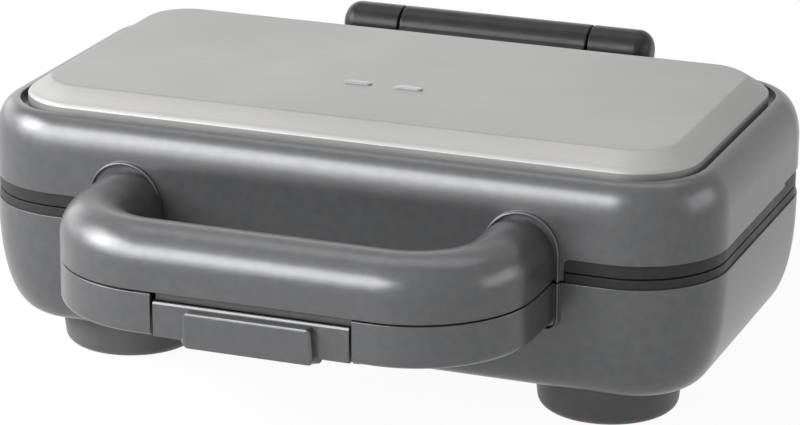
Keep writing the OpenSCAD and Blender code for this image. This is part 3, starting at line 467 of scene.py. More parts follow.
def buildBase():
    h = housing
    rings = []
    for i in range(h["curveSteps"], 0, -1):
        t = math.sin(math.radians(90 * i / h["curveSteps"]))
        z = h["seamZ"] - (h["seamZ"] - h["floorZ"]) * t
        if z < h["seamZ"] - 1.0:
            rings.append(bodyRing(h["curveIn"] * squircle(t, h["curvePower"]), z))
    rings += [bodyRing(0, 59.7), bodyRing(0.04, 59.88), bodyRing(0.12, 59.96), bodyRing(0.3, 60.0)]
    rings += [bodyRing(h["wall"], 60.0)]
    for i in range(2, h["curveSteps"] + 1, 2):
        t = math.sin(math.radians(90 * i / h["curveSteps"]))
        rings.append(bodyRing(h["wall"] + h["curveIn"] * squircle(t, h["curvePower"]),
                              h["seamZ"] - (h["seamZ"] - h["floorZ"] - h["wall"]) * t))
    base = loft("base_housing", rings)
    slots = fromTree("vent_slots", ventCutTree(), {"Finish": finishes["charcoal_body"]})
    combine(base, outwards(slots))
    settle(base, "base", "charcoal_body", ["base_shell"], sharp=40)


def buildLid():
    h = housing
    lidRing = lambda inset, lift: bodyRing(inset, lambda x, y: lidEdge(x, y) + lift)
    rings = [bodyRing(h["wall"] + h["filletIn"], h["deckZ"] - h["deckT"]), bodyRing(h["wall"], h["filletZ"])]
    rings += [bodyRing(h["wall"], 71.5), lidRing(h["wall"], 0)]
    rings += [lidRing(inset, lift) for inset, lift in ((0.5, 0), (0.24, 0.06), (0.06, 0.25), (0, 0.6))]
    rings += [bodyRing(0, 71.5), bodyRing(0, 76)]
    steps = 22
    for i in range(steps + 1):
        a = math.radians(90 * i / steps)
        filletUp = (h["rimZ"] - h["filletZ"]) * math.sin(a)
        rings.append(bodyRing(h["filletIn"] * (1 - math.cos(a)), h["filletZ"] + filletUp))
    inner = h["filletIn"] + h["rimT"]
    rimZ, deckZ = h["rimZ"], h["deckZ"]
    rings += [bodyRing(inner - 0.45, rimZ), bodyRing(inner - 0.14, rimZ - 0.12), bodyRing(inner, rimZ - 0.45)]
    rings += [bodyRing(inner, deckZ + 0.8), bodyRing(inner + 0.25, deckZ + 0.2), bodyRing(inner + 0.8, deckZ)]
    lid = loft("lid_housing", rings)
    settle(lid, "lid", "charcoal_body", ["lid_shell"], sharp=40)


buildBase()
buildLid()
print("housings built")


handle = {
    "halfW": 87.3, "reach": 62.7, "cornerR": 43.2, "barW": 26.5, "rootY": frontY - 1.7,
    "topZ": 81.8, "upperLow": 60.6, "lowerTop": 60.0, "lowerLow": 44.5, "lowerRound": 2.5,
    "wall": 2.4, "solidRoot": 11.0, "bendSteps": 30,
    "collarX": 75.4, "collarR": 14.0, "collarTop": 84.4, "collarLow": 42.5, "collarFoot": 4.0,
    "channelY": frontY - 0.45, "ridge": 1.0, "wallFillet": 0.12,
    "ribX": 32.2, "ribHalfT": 1.2,
}
# pocket in the lower handle for the latch clip, with the keeper on its back wall
recess = {
    "halfW": 37.2, "wallHalfW": 39.6, "cheekX": 38.4, "cheekHalfT": 1.2, "cheekFront": 1.25,
    "keeperHalfW": 20, "keeperReach": 1.6, "keeperLow": 47.9, "keeperHigh": 50.9,
}
barFrontY = frontY - handle["reach"]
armX = handle["halfW"] - handle["barW"] / 2
pinY, pinZ = barFrontY + 10.7, 64.0
recessY = pinY + 4.2


def sweepTree():
    tree = bpy.data.node_groups.new("handleSweep", "GeometryNodeTree")
    tree.is_modifier = True
    sockets = tree.interface
    sockets.new_socket("Geometry", in_out="INPUT", socket_type="NodeSocketGeometry")
    sockets.new_socket("Section", in_out="INPUT", socket_type="NodeSocketObject")
    sockets.new_socket("Bend Radius", in_out="INPUT", socket_type="NodeSocketFloat").default_value = 0.03
    sockets.new_socket("Bend Steps", in_out="INPUT", socket_type="NodeSocketInt").default_value = 24
    sockets.new_socket("Finish", in_out="INPUT", socket_type="NodeSocketMaterial")
    sockets.new_socket("Geometry", in_out="OUTPUT", socket_type="NodeSocketGeometry")
    link = tree.links.new
    inside, outside = addNode(tree, "NodeGroupInput"), addNode(tree, "NodeGroupOutput")
    path = addNode(tree, "GeometryNodeMeshToCurve")
    bend = addNode(tree, "GeometryNodeFilletCurve", mode="POLY")
    level = addNode(tree, "GeometryNodeSetCurveNormal", mode="Z_UP")
    info = addNode(tree, "GeometryNodeObjectInfo")
    section = addNode(tree, "GeometryNodeMeshToCurve")
    sweep = addNode(tree, "GeometryNodeCurveToMesh", {"Fill Caps": True})
    real = addNode(tree, "GeometryNodeRealizeInstances")
    paint = addNode(tree, "GeometryNodeSetMaterial")
    link(inside.outputs["Geometry"], path.inputs["Mesh"])
    link(path.outputs["Curve"], bend.inputs["Curve"])
    link(inside.outputs["Bend Radius"], bend.inputs["Radius"])
    link(inside.outputs["Bend Steps"], bend.inputs["Count"])
    link(bend.outputs["Curve"], level.inputs["Curve"])
    link(inside.outputs["Section"], info.inputs["Object"])
    link(info.outputs["Geometry"], section.inputs["Mesh"])
    link(level.outputs["Curve"], sweep.inputs["Curve"])
    link(section.outputs["Curve"], sweep.inputs["Profile Curve"])
    link(sweep.outputs["Mesh"], real.inputs["Geometry"])
    link(real.outputs["Geometry"], paint.inputs["Geometry"])
    link(inside.outputs["Finish"], paint.inputs["Material"])
    link(paint.outputs["Geometry"], outside.inputs["Geometry"])
    return tree


handleTree = sweepTree()


def sweepHandle(name, section, rootY):
    midY = barFrontY + handle["barW"] / 2
    corners = [(-armX, rootY, 0), (-armX, midY, 0), (armX, midY, 0), (armX, rootY, 0)]
    path = meshObject(name, corners, [], [(0, 1), (1, 2), (2, 3)])
    count = len(section)
    closed = [(i, (i + 1) % count) for i in range(count)]
    loop = meshObject(name + "_section", [(u, -z, 0) for u, z in section], [], closed)
    made = fromTree(name, handleTree, {
        "Section": loop, "Bend Radius": (handle["cornerR"] - handle["barW"] / 2) * mm,
        "Bend Steps": handle["bendSteps"], "Finish": finishes["charcoal_body"]}, path)
    bpy.data.objects.remove(loop)
    return outwards(made, 0.0005)


def upperSection(inset=0.0, low=None, edge=0.35):
    half = handle["barW"] / 2 - inset
    low = handle["upperLow"] if low is None else low
    roundZ = handle["topZ"] - handle["barW"] / 2
    points = arc(half - edge, low + edge, edge, -90, 0, 3) + [(half, roundZ - 4)]
    points += arc(0, roundZ, half, 0, 180, 40) + [(-half, roundZ - 4)]
    points += arc(-half + edge, low + edge, edge, 180, 270, 3)
    return points


def lowerSection():
    half, r, edge = handle["barW"] / 2, handle["lowerRound"], 0.35
    low, top = handle["lowerLow"], handle["lowerTop"]
    points = arc(half - r, low + r, r, -90, 0, 10) + arc(half - edge, top - edge, edge, 0, 90, 3)
    points += arc(-half + edge, top - edge, edge, 90, 180, 3) + arc(-half + r, low + r, r, 180, 270, 10)
    return points


def rootOutline(side, upper):
    h, half = handle, handle["barW"] / 2
    arm, collar = [], []
    if upper:
        roundZ = h["topZ"] - half
        archZ = h["collarTop"] - h["collarR"]
        for low, r, archAt, cx, store in ((h["upperLow"], half, roundZ, side * armX, arm),
                                         (h["upperLow"], h["collarR"], archZ, side * h["collarX"], collar)):
            store += [(cx + r, low + (archAt - low) * i / 6) for i in range(6)]
            store += arc(cx, archAt, r, 0, 180, 36)
            store += [(cx - r, archAt - (archAt - low) * (i + 1) / 6) for i in range(6)]
    else:
        top = h["lowerTop"]
        for low, r, foot, cx, store in (
                (h["lowerLow"], half, h["lowerRound"], side * armX, arm),
                (h["collarLow"], h["collarR"], h["collarFoot"], side * h["collarX"], collar)):
            store += [(cx - r, top - (top - low - foot) * i / 5) for i in range(5)]
            store += arc(cx - r + foot, low + foot, foot, 180, 270, 10)
            store += arc(cx + r - foot, low + foot, foot, -90, 0, 10)
            store += [(cx + r, low + foot + (top - low - foot) * (i + 1) / 5) for i in range(5)]
    return arm, collar


def grow(ring, by, fixedZ):
    made, count = [], len(ring)
    for i, (x, z) in enumerate(ring):
        ax, az = ring[max(i - 1, 0)]
        bx, bz = ring[min(i + 1, count - 1)]
        length = math.hypot(bx - ax, bz - az) or 1
        made.append((x + by * (bz - az) / length, z - by * (bx - ax) / length))
    for end in (0, -1):
        made[end] = (made[end][0], fixedZ)
    return made


def handleRoot(name, side, upper):
    h = handle
    arm, collar = rootOutline(side, upper)
    fixedZ = h["upperLow"] if upper else h["lowerTop"]
    faceY, deepY, half = h["rootY"], h["channelY"], h["ridge"] / 2
    at = lambda off, y: [(x, y, z) for x, z in grow(collar, off, fixedZ)]
    # channel beside the arm, then the ridge's inner side, its round top and its outer side
    rings = [[(x, deepY, z) for x, z in arm], at(-h["ridge"] - 0.25, deepY), at(-h["ridge"] - 0.06, deepY - 0.1)]
    rings += [at(-h["ridge"], deepY - 0.35), at(-h["ridge"], faceY + half)]
    for b in (30, 60, 90, 120, 150, 180):
        a = math.radians(b)
        rings.append(at(-half - half * math.cos(a), faceY + half * (1 - math.sin(a))))
    f = h["wallFillet"]
    for b in (0, 30, 60, 90):
        a = math.radians(b)
        rings.append(at(f * (1 - math.cos(a)), frontY - f * (1 - math.sin(a))))
    rings.append(at(f, frontY + 1.2))
    return loft(name, rings)


def buildHandle():
    h = handle
    upper = sweepHandle("upper_handle_loop", upperSection(), frontY - 0.3)
    solidY = h["rootY"] - h["solidRoot"]
    combine(upper, sweepHandle("hollow", upperSection(h["wall"], h["upperLow"] - 2, 0.1), solidY))
    settle(upper, "lid", "charcoal_body", ["upper_handle"], sharp=40)
    ribs = []
    for side in (-1, 1):
        x = side * h["ribX"]
        section = upperSection(h["wall"] - 0.2)
        rib = loft("rib", [[(x + dx, barFrontY + h["barW"] / 2 + u, z) for u, z in section]
                           for dx in (-h["ribHalfT"], h["ribHalfT"])])
        ribs.append(soften(rib, 0.25, 2))
    settle(gather("latch_pin_ribs", ribs), "lid", "charcoal_body", sharp=40)
    lower = sweepHandle("lower_handle_loop", lowerSection(), frontY - 0.3)
    half = h["barW"] / 2 - h["wall"]
    low, top = h["lowerLow"] - 2, h["lowerTop"] - h["wall"]
    combine(lower, sweepHandle("hollow", [(half, low), (half, top), (-half, top), (-half, low)], solidY))
    r = recess
    combine(lower, block("recess", -r["halfW"], r["halfW"], barFrontY - 2, recessY, 40, 65))
    soften(lower, 0.3, 2, 60)
    walls = [block("wall", -r["wallHalfW"], r["wallHalfW"], recessY, recessY + h["wall"],
                   h["lowerLow"], h["lowerTop"])]
    walls += [block("keeper", -r["keeperHalfW"], r["keeperHalfW"], recessY - r["keeperReach"], recessY + 0.05,
                    r["keeperLow"], r["keeperHigh"])]
    for side in (-1, 1):
        x, t = side * r["cheekX"], r["cheekHalfT"]
        walls.append(block("cheek", x - t, x + t, barFrontY + r["cheekFront"], recessY + 0.45, 44.52, 59.98))
    settle(lower, "base", "charcoal_body", ["lower_handle"], sharp=40)
    settle(gather("latch_recess_walls", [soften(w, 0.3, 2) for w in walls]), "base", "charcoal_body", sharp=40)
    for name, body, above in (("lid_collars", "lid", True), ("base_collars", "base", False)):
        roots = [handleRoot("root", side, above) for side in (-1, 1)]
        settle(gather(name, roots), body, "charcoal_body", sharp=50)


buildHandle()
print("handle built")


latch = {
    "halfW": 36.2, "thick": 3.0, "topZ": 57.4, "lowZ": 44.5, "edge": 0.14, "ledge": 1.1, "topSlope": 2.15,
    "padHalfTop": 23.6, "padHalfLow": 24.0, "padOutTop": 3.6, "padOutLow": 2.6,
    "padTop": 56.1, "padLow": 42.9, "padCorner": 2.0, "padEdge": 0.58, "sideFlare": 0.4, "lowFlare": 2.2,
    "barrelR": 3.0, "barrelHalfW": 30.5, "armHalfT": 1.5, "boreR": 1.7, "armTop": 2.1,
    "hookLow": 45.3, "hookTop": 47.5, "webTop": 50.5, "webFront": 1.85,
    # section of the apron under the upper handle, counted from the pin
    "apron": [(-7.95, -3.0), (-7.95, -6.2), (-8.0, -6.6), (-7.9, -6.75), (-7.7, -6.7), (-7.2, -6.1), (-7.0, -3.0)],
}


def padOutline(halfTop, halfLow, low, top, r):
    ring = arc(halfTop - r, top - r, r, 0, 90, 6) + arc(-halfTop + r, top - r, r, 90, 180, 6)
    return ring + arc(-halfLow + r, low + r, r, 180, 270, 6) + arc(halfLow - r, low + r, r, 270, 360, 6)


def buildLatch():
    d = latch
    y0, y1 = barFrontY, barFrontY + d["thick"]
    section = [(y0, d["lowZ"] + 1), (y0 + 0.3, d["lowZ"] + 0.3), (y0 + 1, d["lowZ"]), (y1, d["lowZ"]),
               (y1, d["topZ"] - d["topSlope"]), (y0 + d["ledge"], d["topZ"]), (y0 + 0.4, d["topZ"]),
               (y0, d["topZ"] - 0.8)]
    panel = soften(alongX("panel", -d["halfW"], d["halfW"], section), d["edge"], 4, 25)
    rings = []
    e = d["padEdge"]
    low, top = d["padLow"], d["padTop"]
    reach = lambda z: d["padOutLow"] + (d["padOutTop"] - d["padOutLow"]) * (z - low) / (top - low)
    for i in range(13):
        s = i / 12
        flare = (1 - s) ** 2.2
        ring = padOutline(d["padHalfTop"] + d["sideFlare"] * flare, d["padHalfLow"] + d["lowFlare"] * flare,
                          d["padLow"], d["padTop"] + 0.4 * flare, d["padCorner"])
        rings.append([(x, y0 + 0.8 - (reach(z) + 0.8 - e) * s, z) for x, z in ring])
    for off, back in ((0.05, 0.46), (0.16, 0.36), (0.4, 0.24), (0.7, 0.11), (0.9, 0.04), (1.1, 0.0)):
        ring = padOutline(d["padHalfTop"] - off, d["padHalfLow"] - off, low + off, top - off,
                          d["padCorner"] - off * 0.8)
        rings.append([(x, y0 - reach(z) + back, z) for x, z in ring])
    pad = loft("pad", rings)
    front, back = pinY - d["armHalfT"], pinY + d["armHalfT"]
    hookEnd, webY = recessY - 2.0, y0 + d["webFront"]
    arm = alongX("arm", -d["barrelHalfW"], d["barrelHalfW"], [
        (front, d["hookLow"]), (hookEnd, d["hookLow"]), (hookEnd, d["hookTop"]), (back, d["hookTop"]),
        (back, pinZ - d["armTop"]), (front, pinZ - d["armTop"]), (front, d["webTop"]), (webY, d["webTop"]),
        (webY, d["hookTop"]), (front, d["hookTop"])])
    soften(arm, 0.3, 2)
    end, r, bore = d["barrelHalfW"], d["barrelR"], d["boreR"]
    sleeve = [(-end, bore), (-end, r - 0.3), (-end + 0.3, r), (end - 0.3, r), (end, r - 0.3), (end, bore)]
    sleeve.append(sleeve[0])
    barrel = lathe("barrel", sleeve, (0, pinY, pinZ), "X", 40)
    clip = gather("latch_clip_visible", [panel, pad, arm, barrel])
    settle(clip, "latch", "charcoal_body", ["latch_clip"], sharp=50)
    apron = alongX("latch_apron", -d["halfW"], d["halfW"], [(pinY + dy, pinZ + dz) for dy, dz in d["apron"]])
    settle(apron, "lid", "charcoal_body", sharp=40)


buildLatch()
print("latch built")


topPlate = {
    "width": 257.2, "depth": 131.2, "cornerR": 24.5, "edgeZ": 100.6, "topZ": 104.2, "lowZ": 93.6,
    "shoulder": 9.0, "sheet": 0.9,
}
lens = {"x": 9.9, "y": middleY - 16.0, "length": 11.0, "width": 3.0, "rise": 0.7}


def plateProfile():
    d = topPlate
    profile = [(0, d["lowZ"]), (0, d["lowZ"] + 2), (0, d["edgeZ"] - 2.6)]
    for r, start, end in ((0.4, 0, 38), (5.2, 38, 64)):  # a tight corner, then the turn into the shoulder
        x0, z0 = profile[-1]
        profile += [(x0 + r * math.cos(math.radians(start)) - dx, z0 - r * math.sin(math.radians(start)) + dz)
                    for dx, dz in arc(0, 0, r, start, end, 6)[1:]]
    x0, z0 = profile[-1]
    for i in range(1, 11):  # a nearly straight shoulder up to the crease of the flat top
        s = i / 10
        profile.append((x0 + (d["shoulder"] - x0) * s, z0 + (d["topZ"] - z0) * (1 - (1 - s) ** 1.12)))
    return profile


def buildTopPlate():
    d = topPlate
    profile = plateProfile()
    ring = lambda inset, z: [(x, y, z) for x, y in outline(d["width"], d["depth"], d["cornerR"], inset)]
    t = d["sheet"]
    inner = [(inset + t * (1 - 0.45 * inset / d["shoulder"]), z - t * min(1, inset / 3))
             for inset, z in reversed(profile)]
    rings = [ring(inset, z) for inset, z in inner] + [ring(inset, z) for inset, z in profile]
    plate = loft("metal_top_plate", rings)
    settle(plate, "lid", "brushed_top", ["lid_top_plate"], sharp=45)


def barTree():
    tree = bpy.data.node_groups.new("indicatorBars", "GeometryNodeTree")
    tree.is_modifier = True
    sockets = tree.interface
    sockets.new_socket("Geometry", in_out="INPUT", socket_type="NodeSocketGeometry")
    for label, value in (("Bar Length", 0.011), ("Bar Width", 0.003), ("Rise", 0.0007), ("Half Distance", 0.0099)):
        sockets.new_socket(label, in_out="INPUT", socket_type="NodeSocketFloat").default_value = value
    sockets.new_socket("Finish", in_out="INPUT", socket_type="NodeSocketMaterial")
    sockets.new_socket("Geometry", in_out="OUTPUT", socket_type="NodeSocketGeometry")
    link = tree.links.new
    inside, outside = addNode(tree, "NodeGroupInput"), addNode(tree, "NodeGroupOutput")
    plan = addNode(tree, "GeometryNodeCurvePrimitiveQuadrilateral")
    link(inside.outputs["Bar Length"], plan.inputs["Width"])
    link(inside.outputs["Bar Width"], plan.inputs["Height"])
    rounded = addNode(tree, "GeometryNodeFilletCurve", mode="POLY")
    rounded.inputs["Count"].default_value = 8
    radius = addNode(tree, "ShaderNodeMath", {1: 0.47}, operation="MULTIPLY")
    link(inside.outputs["Bar Width"], radius.inputs[0])
    link(radius.outputs[0], rounded.inputs["Radius"])
    link(plan.outputs["Curve"], rounded.inputs["Curve"])
    fill = addNode(tree, "GeometryNodeFillCurve", mode="NGONS")
    link(rounded.outputs["Curve"], fill.inputs["Curve"])
    lift = addNode(tree, "GeometryNodeExtrudeMesh")
    lift.inputs["Individual"].default_value = False
    most = addNode(tree, "ShaderNodeMath", {1: 0.6}, operation="MULTIPLY")
    link(inside.outputs["Rise"], most.inputs[0])
    link(fill.outputs["Mesh"], lift.inputs["Mesh"])
    link(most.outputs[0], lift.inputs["Offset Scale"])
    crown = addNode(tree, "GeometryNodeExtrudeMesh")
    crown.inputs["Individual"].default_value = False
    rest = addNode(tree, "ShaderNodeMath", {1: 0.4}, operation="MULTIPLY")
    link(inside.outputs["Rise"], rest.inputs[0])
    link(lift.outputs["Mesh"], crown.inputs["Mesh"])
    link(lift.outputs["Top"], crown.inputs["Selection"])
    link(rest.outputs[0], crown.inputs["Offset Scale"])
    pull = addNode(tree, "GeometryNodeScaleElements", {"Scale": 0.86})
    link(crown.outputs["Mesh"], pull.inputs["Geometry"])
    link(crown.outputs["Top"], pull.inputs["Selection"])
    pair = addNode(tree, "GeometryNodeMeshLine", {"Count": 2})
    start = addNode(tree, "ShaderNodeCombineXYZ")
    gap = addNode(tree, "ShaderNodeCombineXYZ")
    minus = addNode(tree, "ShaderNodeMath", {1: -1.0}, operation="MULTIPLY")
    twice = addNode(tree, "ShaderNodeMath", {1: 2.0}, operation="MULTIPLY")
    link(inside.outputs["Half Distance"], minus.inputs[0])
    link(inside.outputs["Half Distance"], twice.inputs[0])
    link(minus.outputs[0], start.inputs["X"])
    link(twice.outputs[0], gap.inputs["X"])
    link(start.outputs[0], pair.inputs["Start Location"])
    link(gap.outputs[0], pair.inputs["Offset"])
    spread = addNode(tree, "GeometryNodeInstanceOnPoints")
    link(pair.outputs["Mesh"], spread.inputs["Points"])
    link(pull.outputs["Geometry"], spread.inputs["Instance"])
    real = addNode(tree, "GeometryNodeRealizeInstances")
    link(spread.outputs["Instances"], real.inputs["Geometry"])
    place = addNode(tree, "GeometryNodeTransform", {"Translation": (0, lens["y"] * mm, topPlate["topZ"] * mm)})
    link(real.outputs["Geometry"], place.inputs["Geometry"])
    paint = addNode(tree, "GeometryNodeSetMaterial")
    link(place.outputs["Geometry"], paint.inputs["Geometry"])
    link(inside.outputs["Finish"], paint.inputs["Material"])
    link(paint.outputs["Geometry"], outside.inputs["Geometry"])
    return tree


buildTopPlate()
bars = fromTree("indicator_bars", barTree(), {
    "Bar Length": lens["length"] * mm, "Bar Width": lens["width"] * mm, "Rise": lens["rise"] * mm,
    "Half Distance": lens["x"] * mm, "Finish": finishes["grey_lens"]})
settle(bars, "lid", "grey_lens", ["power_lens", "ready_lens"], sharp=60)
print("metal plate and indicator bars built")


cooking = {
    "inset": 0.6, "wellW": 114.0, "wellD": 112.0, "bar": 12.0, "deep": 12.0, "draft": 5.0, "ridge": 7.0,
    "corner": 5.0, "lipRound": 1.3, "lowRound": 2.5, "cast": 2.8, "tubR": 12.0, "edgeRound": 0.5,
    "stripEndX": 91.2, "frontBack": 4.5,
}


def pocketCentres(hx, hy, ridge, r):
    slant = math.hypot(hx, hy)
    away = (r + ridge) * slant
    return [(-hx + r, -hy + r), ((hx * (hy - r) - away) / hy, -hy + r), (-hx + r, (hy * (hx - r) - away) / hx)]


def roundedPoly(centres, r, steps=10):
    ring, count = [], len(centres)
    for i, (cx, cy) in enumerate(centres):
        px, py = centres[i - 1]
        nx, ny = centres[(i + 1) % count]
        a0 = math.degrees(math.atan2(cy - py, cx - px)) - 90
        a1 = math.degrees(math.atan2(ny - cy, nx - cx)) - 90
        while a1 < a0:
            a1 += 360
        ring += arc(cx, cy, max(r, 0.05), a0, a1, steps)
    return ring


def pocketRings():
    d = cooking
    hx, hy = d["wellW"] / 2, d["wellD"] / 2
    wide = pocketCentres(hx, hy, d["ridge"] / 2, d["corner"])
    tight = pocketCentres(hx - d["draft"], hy - d["draft"], d["ridge"] / 2 + d["draft"] / 2, d["corner"])
    levels = [(0.4, d["lipRound"] + 0.1), (0.0, d["lipRound"])]
    for a in (22, 45, 68, 90):
        across, down = 1 - math.cos(math.radians(a)), 1 - math.sin(math.radians(a))
        levels.append((-d["lipRound"] * across, d["lipRound"] * down))
    lowR = d["lowRound"]
    for a in (0, 22, 45, 68, 90):
        across, down = 1 - math.cos(math.radians(a)), 1 - math.sin(math.radians(a))
        levels.append((-d["deep"] + lowR * down, -lowR * across))
    rings = []
    for z, extra in levels:
        share = min(1.0, max(0.0, -z / d["deep"]))
        mid = [(wx + (tx - wx) * share, wy + (ty - wy) * share) for (wx, wy), (tx, ty) in zip(wide, tight)]
        rings.append([(x, y, z) for x, y in roundedPoly(mid, d["corner"] + extra)])
    return rings


def cookingPlate(name, body, node, landZ, facing, edgeT):
    d = cooking
    tubW, tubD = 2 * d["wellW"] + d["bar"] + 2 * d["cast"], d["wellD"] + 2 * d["cast"]
    z = lambda depth: landZ - facing * depth
    tub = lambda inset, depth: [(x, y, z(depth)) for x, y in outline(tubW, tubD, d["tubR"], inset)]
    raised = (lambda x, y: housing["rearStep"] if facing < 0 and y > housing["rearStepY"] + 0.5 else 0.0)
    slab = lambda inset, depth, rear=False: [
        (x, y, z(depth) + (raised(x, y) if rear else 0)) for x, y, _ in bodyRing(d["inset"] + inset, 0)]
    r = d["edgeRound"]
    rings = [slab(r, 0), slab(r * 0.29, r * 0.29), slab(0, r), slab(0, edgeT - 0.1, True), slab(3.0, edgeT, True)]
    tubLow = d["deep"] + d["cast"]
    rings += [tub(0, edgeT + 1.5), tub(0.6, tubLow - 1.5), tub(1.2, tubLow - 0.4), tub(2.4, tubLow)]
    plate = loft(name, rings)
    cutters = []
    for side in (-1, 1):
        for half in (1, -1):
            wellX = side * (d["bar"] + d["wellW"]) / 2
            rings = [[(wellX + side * half * x, middleY + half * y, landZ + facing * depth) for x, y, depth in ring]
                     for ring in pocketRings()]
            cutters.append(loft("pocket", rings))
    combine(plate, outwards(gather("pockets", cutters)))
    low, high = sorted((z(-1), z(edgeT + 1)))
    endX = d["stripEndX"] - (1.0 if facing < 0 else 0.0)
    cut = block("front_cut", -endX, endX, frontY - 3, frontY + d["frontBack"], low, high)
    combine(plate, soften(cut, 0.4, 3))
    settle(plate, body, "nonstick_coating", [node], sharp=42)


cookingPlate("lower_plate_casting", "base", "lower_cooking_plate", 63.4, 1, 3.4)
cookingPlate("upper_plate_casting", "lid", "upper_cooking_plate", 63.8, -1, 4.7)
print("cooking plates built")


hinge = {
    "y": backY + 32.0, "z": 90.4, "r": 8.5, "middleHalf": 38.9, "gap": 0.8, "half": 64.0, "endR": 6.0, "edge": 0.5,
    "towerLow": 40.0, "webTop": 59.0, "armLow": 69.5, "armHigh": 82.0, "armEnd": 3.6, "boreR": 3.25,
}


def buildHinge():
    d = hinge
    e, r, y, z = d["edge"], d["r"], d["y"], d["z"]
    edgeTurn = [(e * (1 - math.cos(math.radians(a))), r - e + e * math.sin(math.radians(a))) for a in (30, 60, 90)]
    middle = [(-d["middleHalf"], d["boreR"]), (-d["middleHalf"], r - e)]
    middle += [(-d["middleHalf"] + along, radius) for along, radius in edgeTurn]
    middle += [(-along, radius) for along, radius in reversed(middle)] + [middle[0]]
    barrel = lathe("barrel", middle, (0, y, z), "X", 72)
    arm = alongX("arm", -d["middleHalf"], d["middleHalf"], [
        (backY - 0.3, d["armLow"]), (backY + 4, d["armLow"]), (y - d["armEnd"], z - r * 0.8),
        (y - d["armEnd"], z + r * 0.5), (backY - 0.3, d["armHigh"])])
    knuckle = gather("lid_hinge_knuckle", [barrel, soften(arm, 1.0, 4)])
    settle(knuckle, "lid", "black_plastic", ["lid_hinge_arm"], sharp=40)
    for side, label in ((1, "right"), (-1, "left")):
        x0, x1 = d["middleHalf"] + d["gap"], d["half"]
        profile = [(side * x0, 3.1), (side * x0, r - e)]
        profile += [(side * (x0 + along), radius) for along, radius in edgeTurn]
        profile += [(side * (x1 - d["endR"] + a), b) for a, b in arc(0, r - d["endR"], d["endR"], 90, 0, 12)]
        profile.append((side * x1, 0.0))
        end = lathe("barrel", profile, (0, y, z), "X", 72)
        web = alongX("web", side * x0, side * (x1 - d["endR"] + 1.5), [
            (backY - 0.3, d["towerLow"]), (backY + 8, d["towerLow"]), (y + r * 0.86, z - r * 0.9),
            (y + r * 0.86, z - 0.5), (y - r * 0.8, z), (backY + 2, d["webTop"]), (backY - 0.3, d["webTop"])])
        settle(gather("hinge_tower_" + label + "_visible", [end, soften(web, 1.2, 4)]), "base", "black_plastic",
               ["hinge_tower_" + label], sharp=40)


buildHinge()
print("hinge built")


stage = {
    "floorSize": 14.0, "floor": (0.86, 0.86, 0.86), "ownLight": 0.95, "worldFill": 0.15,
    "reach": 1.3, "aim": (0, 0, 0.05),
    # name: azimuth and elevation in degrees, width and height of the softbox, watts
    "lamps": {
        "long_front": (321, 32, 1.6, 0.45, 20.0),
        "left_key": (290, 32, 0.8, 0.6, 9.5),
        "front_low": (314, 18, 1.6, 0.35, 9.0),
        "overhead": (185, 78, 1.4, 0.6, 3.5),
        "right_low": (100, 14, 0.9, 0.5, 3.0),
        "left_low": (252, 14, 1.0, 0.5, 2.5),
        "back_left": (216, 18, 1.0, 0.5, 1.3),
    },
}


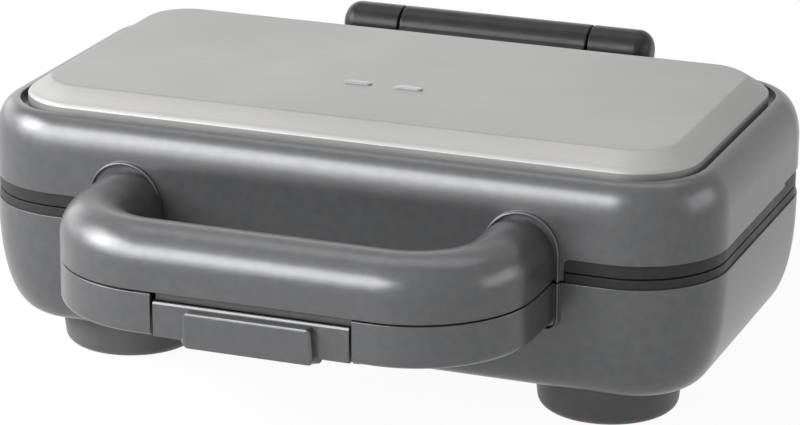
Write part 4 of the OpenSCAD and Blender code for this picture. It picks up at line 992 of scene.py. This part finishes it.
def buildStage():
    half = stage["floorSize"] / 2
    mesh = bpy.data.meshes.new("floor")
    mesh.from_pydata([(-half, -half, 0), (half, -half, 0), (half, half, 0), (-half, half, 0)], [], [(0, 1, 2, 3)])
    floor = bpy.data.objects.new("floor", mesh)
    bpy.context.scene.collection.objects.link(floor)
    finish, tree, shader = newFinish("pale_floor", Roughness=0.9)
    shader.inputs["Base Color"].default_value = (*stage["floor"], 1)
    glow = addNode(tree, "ShaderNodeEmission")
    blend = addNode(tree, "ShaderNodeMixShader")
    rays = addNode(tree, "ShaderNodeLightPath")
    seen = addNode(tree, "ShaderNodeMath", operation="MAXIMUM")
    shown = addNode(tree, "ShaderNodeMath", operation="MAXIMUM")
    share = addNode(tree, "ShaderNodeMath", {1: stage["ownLight"]}, operation="MULTIPLY")
    tree.links.new(rays.outputs["Is Camera Ray"], seen.inputs[0])
    tree.links.new(rays.outputs["Is Glossy Ray"], seen.inputs[1])
    tree.links.new(seen.outputs[0], shown.inputs[0])
    tree.links.new(rays.outputs["Is Transmission Ray"], shown.inputs[1])
    tree.links.new(shown.outputs[0], share.inputs[0])
    tree.links.new(share.outputs[0], blend.inputs[0])
    tree.links.new(shader.outputs[0], blend.inputs[1])
    tree.links.new(glow.outputs[0], blend.inputs[2])
    tree.links.new(blend.outputs[0], tree.nodes["Material Output"].inputs["Surface"])
    mesh.materials.append(finish)
    world = bpy.data.worlds.new("studio")
    bpy.context.scene.world = world
    world.use_nodes = True
    tree = world.node_tree
    back = tree.nodes["Background"]
    back.inputs["Color"].default_value = (1, 1, 1, 1)
    rays = addNode(tree, "ShaderNodeLightPath")
    seen = addNode(tree, "ShaderNodeMath", operation="MAXIMUM")
    shown = addNode(tree, "ShaderNodeMath", operation="MAXIMUM")
    level = addNode(tree, "ShaderNodeMapRange", {"To Min": stage["worldFill"], "To Max": 1.0})
    tree.links.new(rays.outputs["Is Camera Ray"], seen.inputs[0])
    tree.links.new(rays.outputs["Is Glossy Ray"], seen.inputs[1])
    tree.links.new(seen.outputs[0], shown.inputs[0])
    tree.links.new(rays.outputs["Is Transmission Ray"], shown.inputs[1])
    tree.links.new(shown.outputs[0], level.inputs["Value"])
    tree.links.new(level.outputs["Result"], back.inputs["Strength"])
    for name, (azimuth, elevation, width, height, watts) in stage["lamps"].items():
        lamp = bpy.data.lights.new(name, "AREA")
        lamp.shape, lamp.size, lamp.size_y, lamp.energy = "RECTANGLE", width, height, watts
        a, e = math.radians(azimuth), math.radians(elevation)
        away = Vector((math.sin(a) * math.cos(e), -math.cos(a) * math.cos(e), math.sin(e)))
        holder = bpy.data.objects.new(name, lamp)
        holder.location = Vector(stage["aim"]) + away * stage["reach"]
        holder.rotation_euler = (-away).to_track_quat("-Z", "Y").to_euler()
        bpy.context.scene.collection.objects.link(holder)


view = {
    "azimuth": 21.052, "elevation": 18.445, "roll": 0.208,
    "distance": 1353.69, "target": (-0.09, 14.95, 50.02), "lens": 163.1,
}


def buildCamera():
    az, el, roll = (math.radians(view[key]) for key in ("azimuth", "elevation", "roll"))
    back = Vector((math.sin(az) * math.cos(el), -math.cos(az) * math.cos(el), math.sin(el)))
    right = Vector((math.cos(az), math.sin(az), 0))
    up = right.cross(-back)
    x = right * math.cos(roll) + up * math.sin(roll)
    y = up * math.cos(roll) - right * math.sin(roll)
    spot = (Vector(view["target"]) + back * view["distance"]) * mm
    data = bpy.data.cameras.new("camera")
    data.sensor_fit, data.sensor_width, data.lens = "HORIZONTAL", 36.0, view["lens"]
    data.clip_start, data.clip_end = 0.05, 60
    camera = bpy.data.objects.new("camera", data)
    rows = [(x[i], y[i], back[i], spot[i]) for i in range(3)]
    camera.matrix_world = Matrix((*rows, (0, 0, 0, 1)))
    bpy.context.scene.collection.objects.link(camera)
    bpy.context.scene.camera = camera


buildStage()
buildCamera()
bpy.context.scene.view_settings.view_transform = "Standard"
